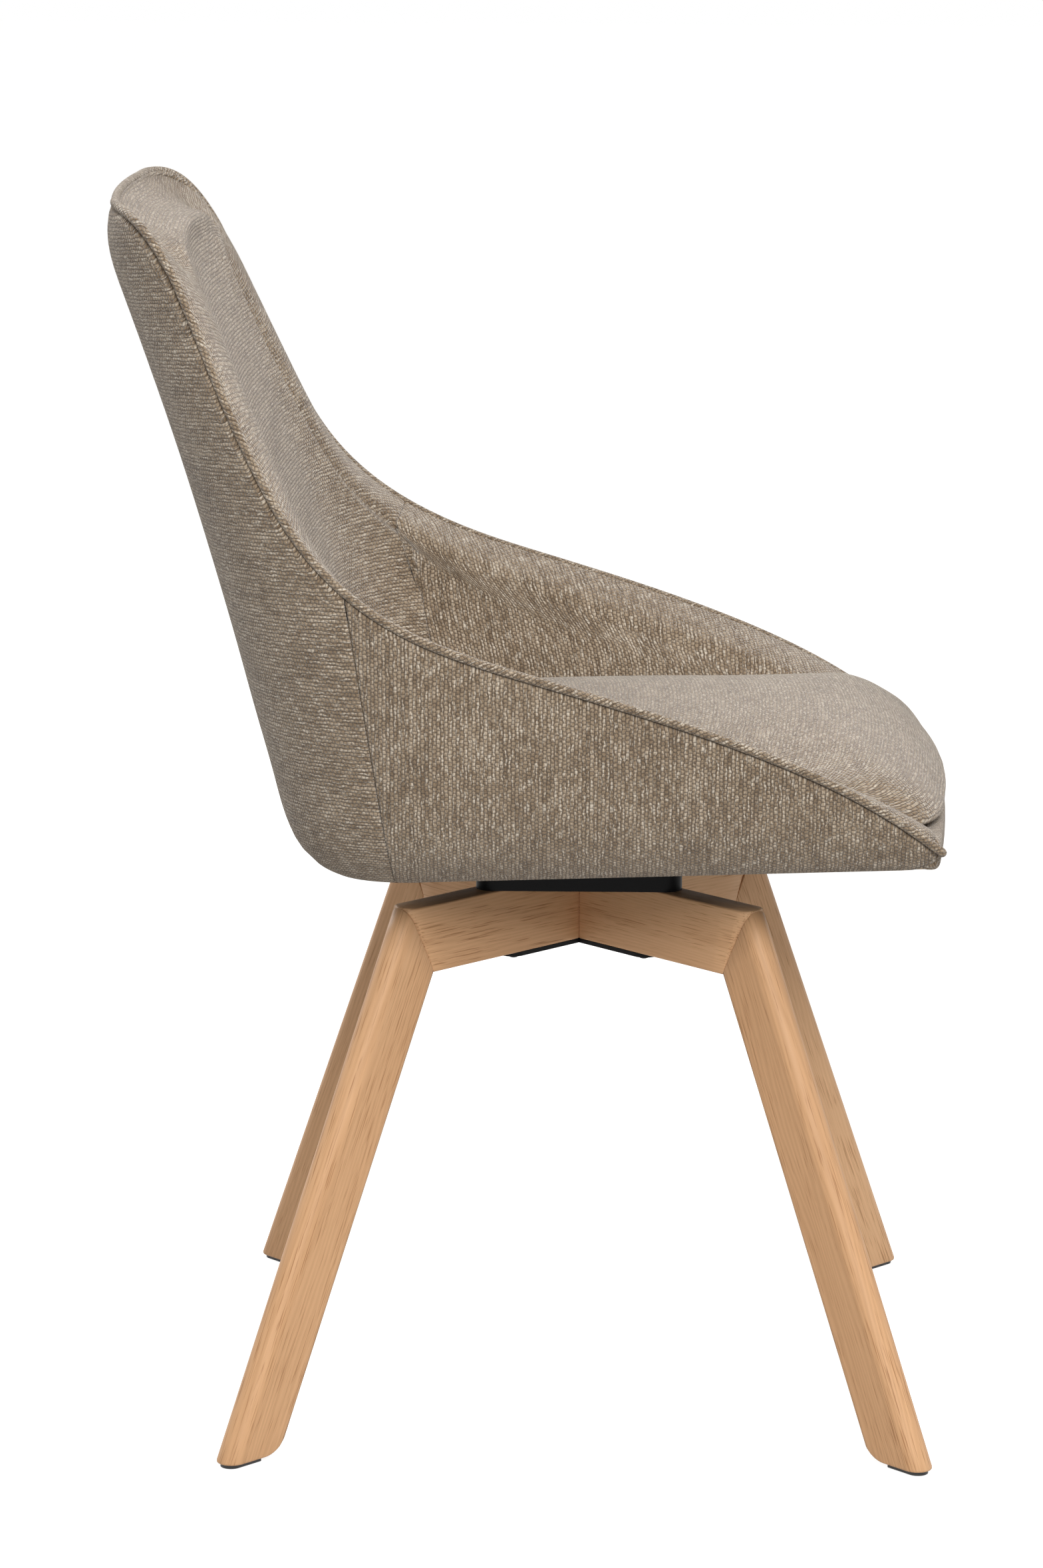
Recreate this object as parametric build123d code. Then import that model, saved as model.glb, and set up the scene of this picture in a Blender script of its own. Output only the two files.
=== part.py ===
"""Swivel dining chair: an oak cross frame on four splayed legs, a ball-bearing swivel and a bucket seat.

Frame: +Z is up, the floor is z = 0, the sitter faces -Y and the swivel turns about the Z axis. Millimetres.
"""
from build123d import *
import math
import os

os.makedirs("parts", exist_ok=True)

# Oak base: four legs on four rails that meet in a cross under the seat
rail_top = 365.5            # height of the rails' flat tops above the floor
rail_height = 48.0
rail_thickness = 21.0       # rails and legs come from boards of one thickness
leg_flat = 36.0             # flat part of a leg's side, measured level
leg_nose = 10.0             # how far the rounded outer edge stands beyond the flat
leg_splay = 24.6            # degrees from upright, outwards along the rail
leg_start = 151.0           # radius of the corner where a leg's inner face meets the rail's underside
leg_edge = 2.0              # rounding of the legs' inner edges
foot_round = 22.0           # rounding of the foot's inner corner
wood_gap = 0.1              # glue gap round a dowel

# Dowels
dowel_radius = 4.0
dowel_reach = 12.0          # how deep a corner dowel sits in each piece
cross_dowel_radius = 3.0
cross_dowel_reach = 9.0
cross_dowel_offset = 7.5    # from the middle of the cross, along the mitre
corner_dowel_shares = (0.3, 0.62)   # places along the mitre between leg and rail
cross_dowel_levels = (0.2, 0.6)     # places up the rails, as shares of their height
cross_dowel_stagger = 0.2           # neighbouring mitres have theirs higher by this share

# Glides under the feet
glide_thickness = 3.0
glide_inset = 3.0
nail_shift = 4.4            # outwards from the middle of the foot
nail_radius = 1.4
nail_length = 16.0
nail_head_radius = 3.5
nail_head_height = 1.2
nail_gap = 0.1

# Steel cross under the rails, with four button-head bolts up through rails and swivel
bracket_thickness = 3.0
bracket_width = 20.0
bracket_arm = 76.0
bolt_circle = 65.0          # radius of the four frame bolts
bolt_radius = 3.0
bolt_gap = 0.3
bolt_head_radius = 5.6
bolt_head_height = 3.2
nut_flats = 10.0
nut_height = 5.0
bolt_past_nut = 2.0

# Swivel
tray_side = 144.0
tray_corner = 11.0
tray_height = 14.0
tray_wall = 2.5
tray_floor = 3.0
race_inner = 33.0
race_outer = 47.0
race_thickness = 6.0
race_space = 3.0            # between the two races' faces
ball_radius = 4.0
ball_gap = 0.15
ball_circle = 40.0
ball_count = 12
cage_thickness = 1.2
cage_inner = 34.5
cage_outer = 45.5
pin_radius = 6.0
pin_gap = 0.05
pin_flange_radius = 13.0
pin_flange_height = 3.0
washer_radius = 14.0
washer_thickness = 1.5
washer_gap = 0.3            # end play under the washer
pin_nut_flats = 18.0
pin_nut_height = 7.0
pin_past_nut = 1.5
cup_radius = 51.0
cup_sheet = 3.0
flange_side = 150.0
flange_corner = 12.0
seat_bolt_offset = 60.0     # the seat bolts' places along X and Y
seat_bolt_length = 15.0
tee_nut_radius = 4.6
tee_nut_flange_radius = 9.0
tee_nut_flange = 1.5
tee_nut_length = 9.0

# Bucket seat
seat_under = 405.0          # height of the seat's underside above the floor, on the swivel axis
seat_tilt = 2.29            # degrees, the rear is lower
board_thickness = 12.0
board_front = -236.0
cover_thickness = 4.0       # outer fabric on its thin foam
shell_thickness = 8.0       # moulded plywood
side_taper = 0.02           # how the sides draw in towards the front, per millimetre
back_crown = 4.0            # bow of the flat middle of the back
front_reach = 300.0
back_padding = 52.0
pad_lip = 14.0              # how far the plywood's edge stays below the upholstered rim
dust_cover_thickness = 1.0
swivel_cutout_gap = 2.0
piping_width = 6.4
piping_proud = 3.2
piping_sunk = 3.0
screw_radius = 2.0
screw_length = 30.0
screw_head_radius = 4.0
screw_head_height = 2.5
screw_gap = 0.1
screw_sink = 8.7            # from the shell's outer face to a side screw's head
rear_screw_sink = 1.2       # the same at the back, at the head's lower edge
side_screws_y = (-190.0, -70.0, 50.0)
back_screws_x = (-90.0, 0.0, 90.0)
band_height = 23.0
band_thickness = 16.0
band_bow = 13.0             # how far the front band bows forward in the middle
band_front = -259.0
outer_seam_foot = (124.0, 404.0)    # (y, z) at the lower end of the seam down each side
outer_seam_lean = 0.157             # how far the seam leans back, per millimetre up
inner_seam_foot = (115.0, 503.0)
inner_seam_lean = 0.215

# Outside of the bucket by height: (height, half width, back, corner radius in plan)
BUCKET = [
    (390.0, 187.0, 163.0, 60.0),
    (400.0, 197.0, 181.0, 74.0),
    (415.0, 214.0, 196.5, 92.0),
    (432.0, 226.0, 204.5, 105.0),
    (461.0, 235.0, 212.5, 118.0),
    (502.0, 241.0, 224.0, 130.0),
    (547.0, 244.0, 236.5, 140.0),
    (612.0, 244.0, 255.5, 148.0),
    (687.0, 240.0, 279.0, 150.0),
    (735.0, 234.0, 296.0, 150.0),
    (783.0, 220.0, 315.0, 150.0),
    (812.0, 212.0, 324.0, 140.0),
    (836.0, 210.0, 324.0, 127.0),
    (856.0, 209.0, 318.0, 114.0),
]
# Inside of the bucket by height: (height, padding on the arms)
ARM_PADDING = [
    (390.0, 42.0),
    (440.0, 46.0),
    (470.0, 45.0),
    (510.0, 36.0),
    (560.0, 30.0),
    (640.0, 40.0),
    (720.0, 50.0),
    (800.0, 50.0),
    (880.0, 50.0),
]
# Rim of the outer covers seen from the side: (y, z) from the top of the back to the front corner
RIM = [
    (330.0, 850.5),
    (306.0, 848.5),
    (281.0, 824.0),
    (250.0, 760.0),
    (217.0, 687.0),
    (187.0, 637.0),
    (134.0, 590.0),
    (24.5, 547.0),
    (-112.0, 502.0),
    (-198.0, 461.0),
    (-240.0, 431.0),
    (-262.0, 411.0),
]
# Front of the inner padding seen from the side: it rolls out beyond the rim along the back
PAD_RIM = [
    (330.0, 848.0),
    (292.0, 851.0),
    (266.0, 829.0),
    (235.0, 765.0),
    (201.0, 687.0),
    (170.0, 629.0),
    (118.0, 582.0),
    (24.5, 545.0),
    (-112.0, 500.0),
    (-198.0, 459.0),
    (-240.0, 429.0),
    (-262.0, 409.0),
]
# Cushion cut across, from the nose to the rear: (y, height of its edges, height of its crown, half width)
CUSHION = [
    (-262.0, 440.0, 446.0, 118.0),
    (-258.0, 443.0, 457.0, 158.0),
    (-249.0, 449.0, 468.0, 180.0),
    (-232.0, 456.0, 479.0, 194.0),
    (-205.0, 463.0, 487.0, 202.0),
    (-150.0, 467.0, 491.0, 206.0),
    (-60.0, 468.0, 490.0, 206.0),
    (60.0, 468.0, 485.0, 206.0),
    (190.0, 466.0, 478.0, 200.0),
]

# Sizes that follow from the ones above
splay = math.radians(leg_splay)
rail_bottom = rail_top - rail_height
leg_width = leg_flat + leg_nose
leg_tip = leg_start + leg_width - rail_height * math.tan(splay)
foot_inner = leg_start + (rail_bottom - glide_thickness) * math.tan(splay)
wide = 2000.0

tray_top = rail_top + tray_floor
ball_height = tray_top + race_thickness + race_space / 2
cup_bottom = tray_top + 2 * race_thickness + race_space
washer_bottom = cup_bottom + cup_sheet + washer_gap
pin_nut_bottom = washer_bottom + washer_thickness
pin_top = pin_nut_bottom + pin_nut_height + pin_past_nut

# Places in the plane of the seat's underside, which tilts with the seat
seat_place = Location((0, 0, seat_under), (-seat_tilt, 0, 0))


def save(shape, name):
    """Write one node to its STEP file."""
    export_step(shape, f"parts/{name}.step")


def round_rail(angle, shape):
    """Turn a piece made along +X to its place round the swivel axis."""
    return Rot(0, 0, angle) * shape


def side_prism(points, width):
    """A prism along Y from a closed outline given as (radius, height) points."""
    face = make_face(Plane.XZ * Polyline(*points, close=True))
    return extrude(face, amount=width / 2, both=True)


def leg_outline(inner, outer_flat, nose, thickness, edge):
    """A leg cut level: flat sides, softened inner edges and a bullnosed outer edge."""
    half = thickness / 2
    straight = Polyline((outer_flat, half), (inner, half), (inner, -half), (outer_flat, -half))
    bullnose = ThreePointArc((outer_flat, -half), (outer_flat + nose, 0), (outer_flat, half))
    face = make_face(straight + bullnose)
    inner_corners = face.vertices().filter_by(lambda corner: corner.X < inner + edge)
    return fillet(inner_corners, edge)


def splayed(outline):
    """Carry a level outline drawn at the glide's top up along the leg."""
    along = (-math.sin(splay), 0, math.cos(splay))
    placed = Pos(0, 0, glide_thickness) * outline
    return extrude(placed, amount=(rail_top + rail_height) / math.cos(splay), dir=along)


def foot_rounding():
    """What is cut from a foot's inner bottom corner to round it in the leg's plane."""
    tangent = foot_round / math.tan((math.pi / 2 + splay) / 2)
    corner = Vector(foot_inner, 0, glide_thickness)
    up_face = corner + Vector(-math.sin(splay), 0, math.cos(splay)) * tangent
    on_floor = corner + Vector(tangent, 0, 0)
    centre = on_floor + Vector(0, 0, foot_round)
    middle = centre + (corner - centre).normalized() * foot_round
    outside = Vector(-math.cos(splay), 0, -math.sin(splay)) * foot_round
    below = Vector(0, 0, -glide_thickness)
    path = Polyline(on_floor, on_floor + below, corner + outside + below, up_face + outside, up_face)
    face = make_face(path + ThreePointArc(up_face, middle, on_floor))
    return extrude(face, amount=rail_thickness, both=True)


def corner_dowels(radius, reach):
    """The two dowels across the mitre between a leg and its rail."""
    mitre = Vector(leg_tip - leg_start, 0, rail_height)
    across = Vector(rail_height, 0, leg_start - leg_tip).normalized()
    pegs = []
    for share in corner_dowel_shares:
        middle = Vector(leg_start, 0, rail_bottom) + mitre * share
        plane = Plane(origin=middle, z_dir=across)
        pegs.append(plane * Cylinder(radius, 2 * reach))
    return pegs


def cross_dowels(radius, reach):
    """The eight dowels across the four mitres where the rails meet."""
    pegs = []
    for turn in range(4):
        for level in cross_dowel_levels:
            height = rail_bottom + rail_height * (level + cross_dowel_stagger * (turn % 2))
            peg = Pos(cross_dowel_offset, 0, height) * Rot(90, 0, 0) * Cylinder(radius, 2 * reach)
            pegs.append(Rot(0, 0, 90 * turn) * peg)
    return pegs


def nail(shank, length, head_radius, head_height):
    """A glide's nail on the origin, head down, its head flush with the glide's underside."""
    head = Pos(0, 0, head_height / 2) * Cylinder(head_radius, head_height)
    return Pos(0, 0, length / 2) * Cylinder(shank, length) + head


def hexagon_nut(flats, height, bore):
    """A nut standing on z = 0, with a plain bore."""
    outer = RegularPolygon(flats / 2, 6, major_radius=False)
    return extrude(outer - Circle(bore), amount=height)


def button_bolt(radius, length, head_radius, head_height):
    """A bolt on the origin: shank up, and a domed head, a cap of a sphere, below z = 0."""
    ball = (head_radius**2 + head_height**2) / (2 * head_height)
    cap = Pos(0, 0, ball - head_height) * Sphere(ball) & Pos(0, 0, -ball) * Box(4 * ball, 4 * ball, 2 * ball)
    return cap + Pos(0, 0, length / 2) * Cylinder(radius, length)


# Base: legs and rails
rail_angles = [45 + 90 * quarter for quarter in range(4)]
names = ["rear_left", "rear_right", "front_right", "front_left"]
nail_place = Pos(foot_inner + leg_width / 2 + nail_shift, 0, 0)
nail_hole = nail_place * Cylinder(nail_radius + nail_gap, 4 * nail_length)
bolt_hole = Pos(bolt_circle, 0, rail_top) * Cylinder(bolt_radius + bolt_gap, 3 * rail_height)

section = leg_outline(foot_inner, foot_inner + leg_flat, leg_nose, rail_thickness, leg_edge)
envelope = leg_outline(foot_inner - wide / 4, foot_inner + leg_flat, leg_nose, rail_thickness, leg_edge)
leg_side = side_prism(
    [
        (leg_start - rail_height, rail_bottom),
        (leg_start, rail_bottom),
        (leg_tip, rail_top),
        (wide, rail_top),
        (wide, glide_thickness),
        (leg_start - rail_height, glide_thickness),
    ],
    2 * rail_thickness,
)
rail_side = side_prism(
    [(0, rail_bottom), (leg_start, rail_bottom), (leg_tip, rail_top), (0, rail_top)],
    rail_thickness,
)
half = rail_thickness / 2
rail_plan = extrude(
    make_face(Polyline((0, 0), (half, half), (wide, half), (wide, -half), (half, -half), close=True)),
    amount=rail_top + rail_height,
)
leg = (splayed(section) & leg_side) - foot_rounding() - nail_hole
rail = (rail_side & rail_plan & splayed(envelope)) - bolt_hole
for peg in corner_dowels(dowel_radius + wood_gap, dowel_reach + wood_gap):
    leg = leg - peg
    rail = rail - peg

for name, angle in zip(names, rail_angles):
    placed_rail = round_rail(angle, rail)
    for peg in cross_dowels(cross_dowel_radius + wood_gap, cross_dowel_reach + wood_gap):
        placed_rail = placed_rail - peg
    save(placed_rail, f"rail_{name}")
    save(round_rail(angle, leg), f"leg_{name}")

leg_dowels = corner_dowels(dowel_radius, dowel_reach)
save(Compound([round_rail(angle, peg).solid() for angle in rail_angles for peg in leg_dowels]), "corner_dowels")
save(Compound([peg.solid() for peg in cross_dowels(cross_dowel_radius, cross_dowel_reach)]), "cross_dowels")

# Glides and their nails
glide_outline = leg_outline(
    foot_inner + glide_inset + foot_round / 2,
    foot_inner + leg_flat,
    leg_nose - glide_inset,
    rail_thickness - 2 * glide_inset,
    leg_edge,
)
countersink = Pos(0, 0, nail_head_height / 2) * Cylinder(nail_head_radius + nail_gap, nail_head_height)
glide = extrude(glide_outline, amount=glide_thickness) - nail_hole - nail_place * countersink
glide_nail = nail_place * nail(nail_radius, nail_length, nail_head_radius, nail_head_height)
for name, angle in zip(names, rail_angles):
    save(round_rail(angle, glide), f"glide_{name}")
save(Compound([round_rail(angle, glide_nail).solid() for angle in rail_angles]), "glide_nails")

# Steel cross under the rails
arm = SlotOverall(2 * bracket_arm, bracket_width)
bracket = extrude(arm + Rot(0, 0, 90) * arm, amount=-bracket_thickness)
bracket = Rot(0, 0, 45) * Pos(0, 0, rail_bottom) * bracket
for angle in rail_angles:
    bracket = bracket - round_rail(angle, bolt_hole)
save(bracket, "lower_bracket")

frame_bolt_length = bracket_thickness + rail_height + tray_floor + nut_height + bolt_past_nut
frame_bolt = Pos(bolt_circle, 0, rail_bottom - bracket_thickness) * button_bolt(
    bolt_radius, frame_bolt_length, bolt_head_radius, bolt_head_height
)
frame_nut = Pos(bolt_circle, 0, tray_top) * hexagon_nut(nut_flats, nut_height, bolt_radius + nail_gap)
save(Compound([round_rail(angle, frame_bolt).solid() for angle in rail_angles]), "frame_bolts")
save(Compound([round_rail(angle, frame_nut).solid() for angle in rail_angles]), "frame_nuts")

# Swivel: lower tray, races, balls in their cage, pivot pin and upper plate
tray_plan = RectangleRounded(tray_side, tray_side, tray_corner)
tray_inside = RectangleRounded(tray_side - 2 * tray_wall, tray_side - 2 * tray_wall, tray_corner - tray_wall)
tray = Pos(0, 0, rail_top) * extrude(tray_plan, amount=tray_height)
tray = tray - Pos(0, 0, tray_top) * extrude(tray_inside, amount=tray_height)
for angle in rail_angles:
    tray = tray - round_rail(angle, bolt_hole)
save(tray, "swivel_tray")

ring = extrude(Circle(race_outer) - Circle(race_inner), amount=race_thickness)
groove = Pos(0, 0, ball_height) * Torus(ball_circle, ball_radius + ball_gap)
save(Pos(0, 0, tray_top) * ring - groove, "lower_race")
save(Pos(0, 0, cup_bottom - race_thickness) * ring - groove, "upper_race")

ball_angles = [360 / ball_count * index for index in range(ball_count)]
ball_places = [Rot(0, 0, angle) * Pos(ball_circle, 0, ball_height) for angle in ball_angles]
cage = extrude(Circle(cage_outer) - Circle(cage_inner), amount=cage_thickness)
cage = Pos(0, 0, ball_height - cage_thickness / 2) * cage
for place in ball_places:
    cage = cage - place * Cylinder(ball_radius + ball_gap, 2 * race_space)
save(cage, "ball_cage")
save(Compound([(place * Sphere(ball_radius)).solid() for place in ball_places]), "bearing_balls")

pin = Pos(0, 0, (tray_top + pin_top) / 2) * Cylinder(pin_radius, pin_top - tray_top)
pin = pin + Pos(0, 0, tray_top + pin_flange_height / 2) * Cylinder(pin_flange_radius, pin_flange_height)
save(pin, "pivot_pin")
washer = extrude(Circle(washer_radius) - Circle(pin_radius + pin_gap), amount=washer_thickness)
save(Pos(0, 0, washer_bottom) * washer, "pivot_washer")
pin_nut = hexagon_nut(pin_nut_flats, pin_nut_height, pin_radius + pin_gap)
save(Pos(0, 0, pin_nut_bottom) * pin_nut, "pivot_nut")

below_seat = seat_place * Pos(0, 0, -wide / 2) * Box(wide, wide, wide)
cup = Pos(0, 0, cup_bottom) * extrude(Circle(cup_radius), amount=seat_under - cup_bottom + cup_sheet)
cup = cup - Pos(0, 0, cup_bottom + cup_sheet) * extrude(Circle(cup_radius - cup_sheet), amount=seat_under)
flange = seat_place * Pos(0, 0, -cup_sheet) * extrude(
    RectangleRounded(flange_side, flange_side, flange_corner) - Circle(cup_radius - cup_sheet / 2), amount=cup_sheet
)
seat_bolt_places = [
    seat_place * Pos(x, y, 0)
    for x in (-seat_bolt_offset, seat_bolt_offset)
    for y in (-seat_bolt_offset, seat_bolt_offset)
]
plate = (cup & below_seat) + flange - Cylinder(pin_radius + pin_gap, wide)
for place in seat_bolt_places:
    plate = plate - place * Cylinder(bolt_radius + bolt_gap, 4 * cup_sheet)
save(plate, "swivel_top_plate")

seat_bolt = Pos(0, 0, -cup_sheet) * button_bolt(bolt_radius, seat_bolt_length, bolt_head_radius, bolt_head_height)
save(Compound([(place * seat_bolt).solid() for place in seat_bolt_places]), "seat_bolts")
tee_nut_plan = Circle(tee_nut_radius) - Circle(bolt_radius + nail_gap)
tee_nut = Pos(0, 0, board_thickness - tee_nut_length) * extrude(tee_nut_plan, amount=tee_nut_length)
tee_nut = tee_nut + Pos(0, 0, board_thickness) * extrude(
    Circle(tee_nut_flange_radius) - Circle(bolt_radius + nail_gap), amount=tee_nut_flange
)
save(Compound([(place * tee_nut).solid() for place in seat_bolt_places]), "tee_nuts")


# Bucket seat: nested skins that share one family of level outlines
def level_outline(height, half_width, back, corner, flat):
    """A closed D in plan: straight front and sides, rounded rear corners and a slightly bowed back."""
    side_y = back - corner
    front_x = half_width - side_taper * (side_y + front_reach)
    turn = math.sqrt(0.5)
    bend = (half_width - flat) * turn
    rise = corner * turn
    left_front, right_front = (-front_x, -front_reach, height), (front_x, -front_reach, height)
    left_side, right_side = (-half_width, side_y, height), (half_width, side_y, height)
    left_back, right_back = (-flat, back - back_crown, height), (flat, back - back_crown, height)
    edges = [
        Line(left_front, left_side),
        ThreePointArc(left_side, (-flat - bend, side_y + rise, height), left_back),
        ThreePointArc(left_back, (0, back, height), right_back),
        ThreePointArc(right_back, (flat + bend, side_y + rise, height), right_side),
        Line(right_side, right_front),
        Line(right_front, left_front),
    ]
    return Face(Wire(edges))


def between(table, height, column):
    """A value of a table at any height, on straight lines between its rows."""
    for low, high in zip(table[:-1], table[1:]):
        if height <= high[0]:
            share = (height - low[0]) / (high[0] - low[0])
            return low[column] + (high[column] - low[column]) * share
    return table[-1][column]


def bucket(inset):
    """The bucket's outside, drawn in by an inset, as a solid down to below the seat."""
    outlines = [
        level_outline(height, half_width - inset, back - inset, corner - inset, half_width - corner)
        for height, half_width, back, corner in BUCKET
    ]
    return loft(outlines)


def hollow():
    """The space that the inner padding leaves, as a solid that runs out above the rim."""
    outlines = []
    for height, padding in ARM_PADDING:
        half_width = between(BUCKET, height, 1) - padding
        back = between(BUCKET, height, 2) - back_padding
        corner = between(BUCKET, height, 3) - back_padding
        flat = max(between(BUCKET, height, 1) - between(BUCKET, height, 3), half_width - corner)
        outlines.append(level_outline(height, half_width, back, corner, flat))
    return loft(outlines)


def below_rim(points, drop):
    """What lies behind and below a rim seen from the side, shifted square to the rim by a drop."""
    shift = Vector(0, drop * math.sin(math.radians(45)), -drop * math.cos(math.radians(45)))
    rim = Spline(*[Vector(0, y, z) + shift for y, z in points])
    start = rim @ 0
    end = rim @ 1
    back = Vector(0, wide / 4, start.Z)
    outline = rim + Polyline(end, (0, end.Y, 0), (0, back.Y, 0), back, start)
    return extrude(make_face(outline), amount=wide / 2, both=True, dir=(1, 0, 0))


def behind(foot_y, foot_z, lean):
    """Everything behind a plane across the seat through (foot_y, foot_z) that leans back by a slope."""
    return extrude(
        make_face(
            Polyline(
                (0, foot_y - lean * foot_z, 0),
                (0, foot_y + lean * (wide - foot_z), wide),
                (0, wide, wide),
                (0, wide, 0),
                close=True,
            )
        ),
        amount=wide / 2,
        both=True,
        dir=(1, 0, 0),
    )


def on_side(sign):
    """The half space on one side of the chair."""
    return Pos(sign * wide / 2, 0, 0) * Box(wide, 2 * wide, 2 * wide)


above_seat = seat_place * Pos(0, 0, wide / 2) * Box(wide, wide, wide)
above_board = seat_place * Pos(0, 0, board_thickness + wide / 2) * Box(wide, wide, wide)
inside_front = Pos(0, wide / 2 + board_front, 0) * Box(wide, wide, 2 * wide)
outside = bucket(0)
under_cover = bucket(cover_thickness)
under_shell = bucket(cover_thickness + shell_thickness)
room = hollow()
cover_rim = below_rim(RIM, piping_width / 2)
shell_rim = below_rim(RIM, pad_lip)
pad_rim = below_rim(PAD_RIM, 0)
outer_seam = behind(*outer_seam_foot, outer_seam_lean)
inner_seam = behind(*inner_seam_foot, inner_seam_lean)
inside_band = Pos(0, wide / 2 + band_front + band_bow, 0) * Box(wide, wide, 2 * wide)


def shell_screw_places():
    """The nine screws through the shells into the board's edge, each along its own +Z, head at the origin."""
    level = seat_under + board_thickness / 2
    half_width = between(BUCKET, level, 1) - cover_thickness - screw_sink
    fall = math.sin(math.radians(seat_tilt)) * between(BUCKET, level, 2)
    back = between(BUCKET, level - fall - screw_head_radius, 2) - cover_thickness - rear_screw_sink
    places = []
    for y in side_screws_y:
        for sign in (-1, 1):
            places.append(seat_place * Pos(sign * half_width, y, board_thickness / 2) * Rot(0, -sign * 90, 0))
    for x in back_screws_x:
        places.append(seat_place * Pos(x, back, board_thickness / 2) * Rot(90, 0, 0))
    return places


def cushion():
    """A crowned pad with a rounded nose: arched sections lofted from front to rear."""
    sections = []
    for y, edge, crown, half_width in CUSHION:
        left, right = (half_width, y, edge), (-half_width, y, edge)
        below = Polyline(right, (-half_width, y, seat_under), (half_width, y, seat_under), left)
        arch = ThreePointArc(left, (0, y, crown), right)
        sections.append(Face(Wire([*below.edges(), arch])))
    return loft(sections, ruled=True)


screw_places = shell_screw_places()
screw = Pos(0, 0, screw_length / 2) * Cylinder(screw_radius, screw_length)
screw = screw + Pos(0, 0, screw_head_height / 2) * Cylinder(screw_head_radius, screw_head_height)
screw_hole = Pos(0, 0, screw_length / 2) * Cylinder(screw_radius + screw_gap, screw_length + 2 * screw_gap)
screw_hole = screw_hole + Pos(0, 0, screw_head_height - screw_length / 2) * Cylinder(
    screw_head_radius + screw_gap, screw_length
)

band_back = band_front + band_bow
band_end = between(BUCKET, seat_under + band_height / 2, 1)
band_plan = make_face(
    ThreePointArc((-band_end, band_back), (0, band_front), (band_end, band_back))
    + Line((band_end, band_back), (band_end, band_back + band_thickness))
    + ThreePointArc(
        (band_end, band_back + band_thickness),
        (0, band_front + band_thickness),
        (-band_end, band_back + band_thickness),
    )
    + Line((-band_end, band_back + band_thickness), (-band_end, band_back))
)
band_strip = seat_place * extrude(band_plan, amount=band_height)

cover = ((outside & cover_rim & above_seat) - under_cover) & inside_band
shell = (under_cover & shell_rim & above_seat & inside_front) - under_shell
pads = (under_cover & pad_rim & above_board & inside_front) - shell - room
board = (under_shell & above_seat & inside_front) - above_board
bead = bucket(-piping_proud) & below_rim(RIM, -piping_width / 2) & above_seat & inside_band
bead = bead - bucket(piping_sunk) - cover_rim
band = (band_strip & under_cover) - board - shell - pads
seat_pad = (cushion() & room & above_board) - band_strip
slab = seat_place * Pos(0, 0, -dust_cover_thickness / 2) * Box(wide, wide, dust_cover_thickness)
dust_cover = (under_shell & slab & inside_front) - seat_place * Box(
    flange_side + 2 * swivel_cutout_gap, flange_side + 2 * swivel_cutout_gap, 4 * dust_cover_thickness
)

for place in seat_bolt_places:
    board = board - place * Cylinder(tee_nut_radius + nail_gap, 4 * board_thickness)
    seat_pad = seat_pad - place * Pos(0, 0, board_thickness) * Cylinder(
        tee_nut_flange_radius + nail_gap, 2 * tee_nut_flange + 2 * nail_gap
    )
for place in screw_places:
    shell = shell - place * screw_hole
    board = board - place * screw_hole

save(cover & outer_seam, "outer_back_cover")
save((cover - outer_seam) & on_side(-1), "outer_side_cover_right")
save((cover - outer_seam) & on_side(1), "outer_side_cover_left")
save(shell & outer_seam, "back_shell")
save((shell - outer_seam) & on_side(-1), "side_shell_right")
save((shell - outer_seam) & on_side(1), "side_shell_left")
save(pads & inner_seam, "inner_back_pad")
save((pads - inner_seam) & on_side(-1), "inner_arm_pad_right")
save((pads - inner_seam) & on_side(1), "inner_arm_pad_left")
save(board, "seat_board")
save(bead, "rim_piping")
save(band, "front_band")
save(seat_pad, "seat_cushion")
save(dust_cover, "dust_cover")
save(Compound([(place * screw).solid() for place in screw_places]), "shell_screws")
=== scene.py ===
"""Swivel dining chair: the looks of an oak-legged bucket chair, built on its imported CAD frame.

+Z is up, the floor is z = 0, the sitter faces -Y and the swivel turns about the Z axis. Sizes below are in
millimetres and become metres when a mesh is made.
"""
import math

import bpy
import numpy as np
from mathutils import Matrix, Vector


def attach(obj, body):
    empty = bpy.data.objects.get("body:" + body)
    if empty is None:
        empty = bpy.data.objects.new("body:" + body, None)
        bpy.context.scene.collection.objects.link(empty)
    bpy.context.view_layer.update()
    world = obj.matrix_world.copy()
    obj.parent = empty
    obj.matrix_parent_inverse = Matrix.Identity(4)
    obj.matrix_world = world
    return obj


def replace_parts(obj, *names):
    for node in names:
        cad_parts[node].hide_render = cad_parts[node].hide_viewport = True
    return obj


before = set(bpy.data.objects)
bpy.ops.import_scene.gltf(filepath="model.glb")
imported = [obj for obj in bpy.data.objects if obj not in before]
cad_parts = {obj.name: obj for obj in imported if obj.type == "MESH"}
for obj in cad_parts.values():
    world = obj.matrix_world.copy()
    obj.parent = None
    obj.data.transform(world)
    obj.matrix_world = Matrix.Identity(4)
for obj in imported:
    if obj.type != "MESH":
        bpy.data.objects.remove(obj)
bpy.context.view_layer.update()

# ---------------------------------------------------------------------------------------------------------
# Oak legs and rails. Straight-grained solid oak, 21 mm boards, planed, eased along the edges and matt
# lacquered. Each leg is mitred to its rail, glued and dowelled, and its outer edge is turned to a bullnose.
RAIL_TOP, RAIL_HEIGHT, BOARD = 365.5, 48.0, 21.0
LEG_FLAT, LEG_NOSE, SPLAY = 36.0, 10.0, math.radians(24.6)
LEG_START, GLIDE, FOOT_ROUND = 151.0, 3.0, 22.0
RAIL_BOTTOM = RAIL_TOP - RAIL_HEIGHT
LEG_TIP = LEG_START + LEG_FLAT + LEG_NOSE - RAIL_HEIGHT * math.tan(SPLAY)
FOOT_INNER = LEG_START + (RAIL_BOTTOM - GLIDE) * math.tan(SPLAY)
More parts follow.
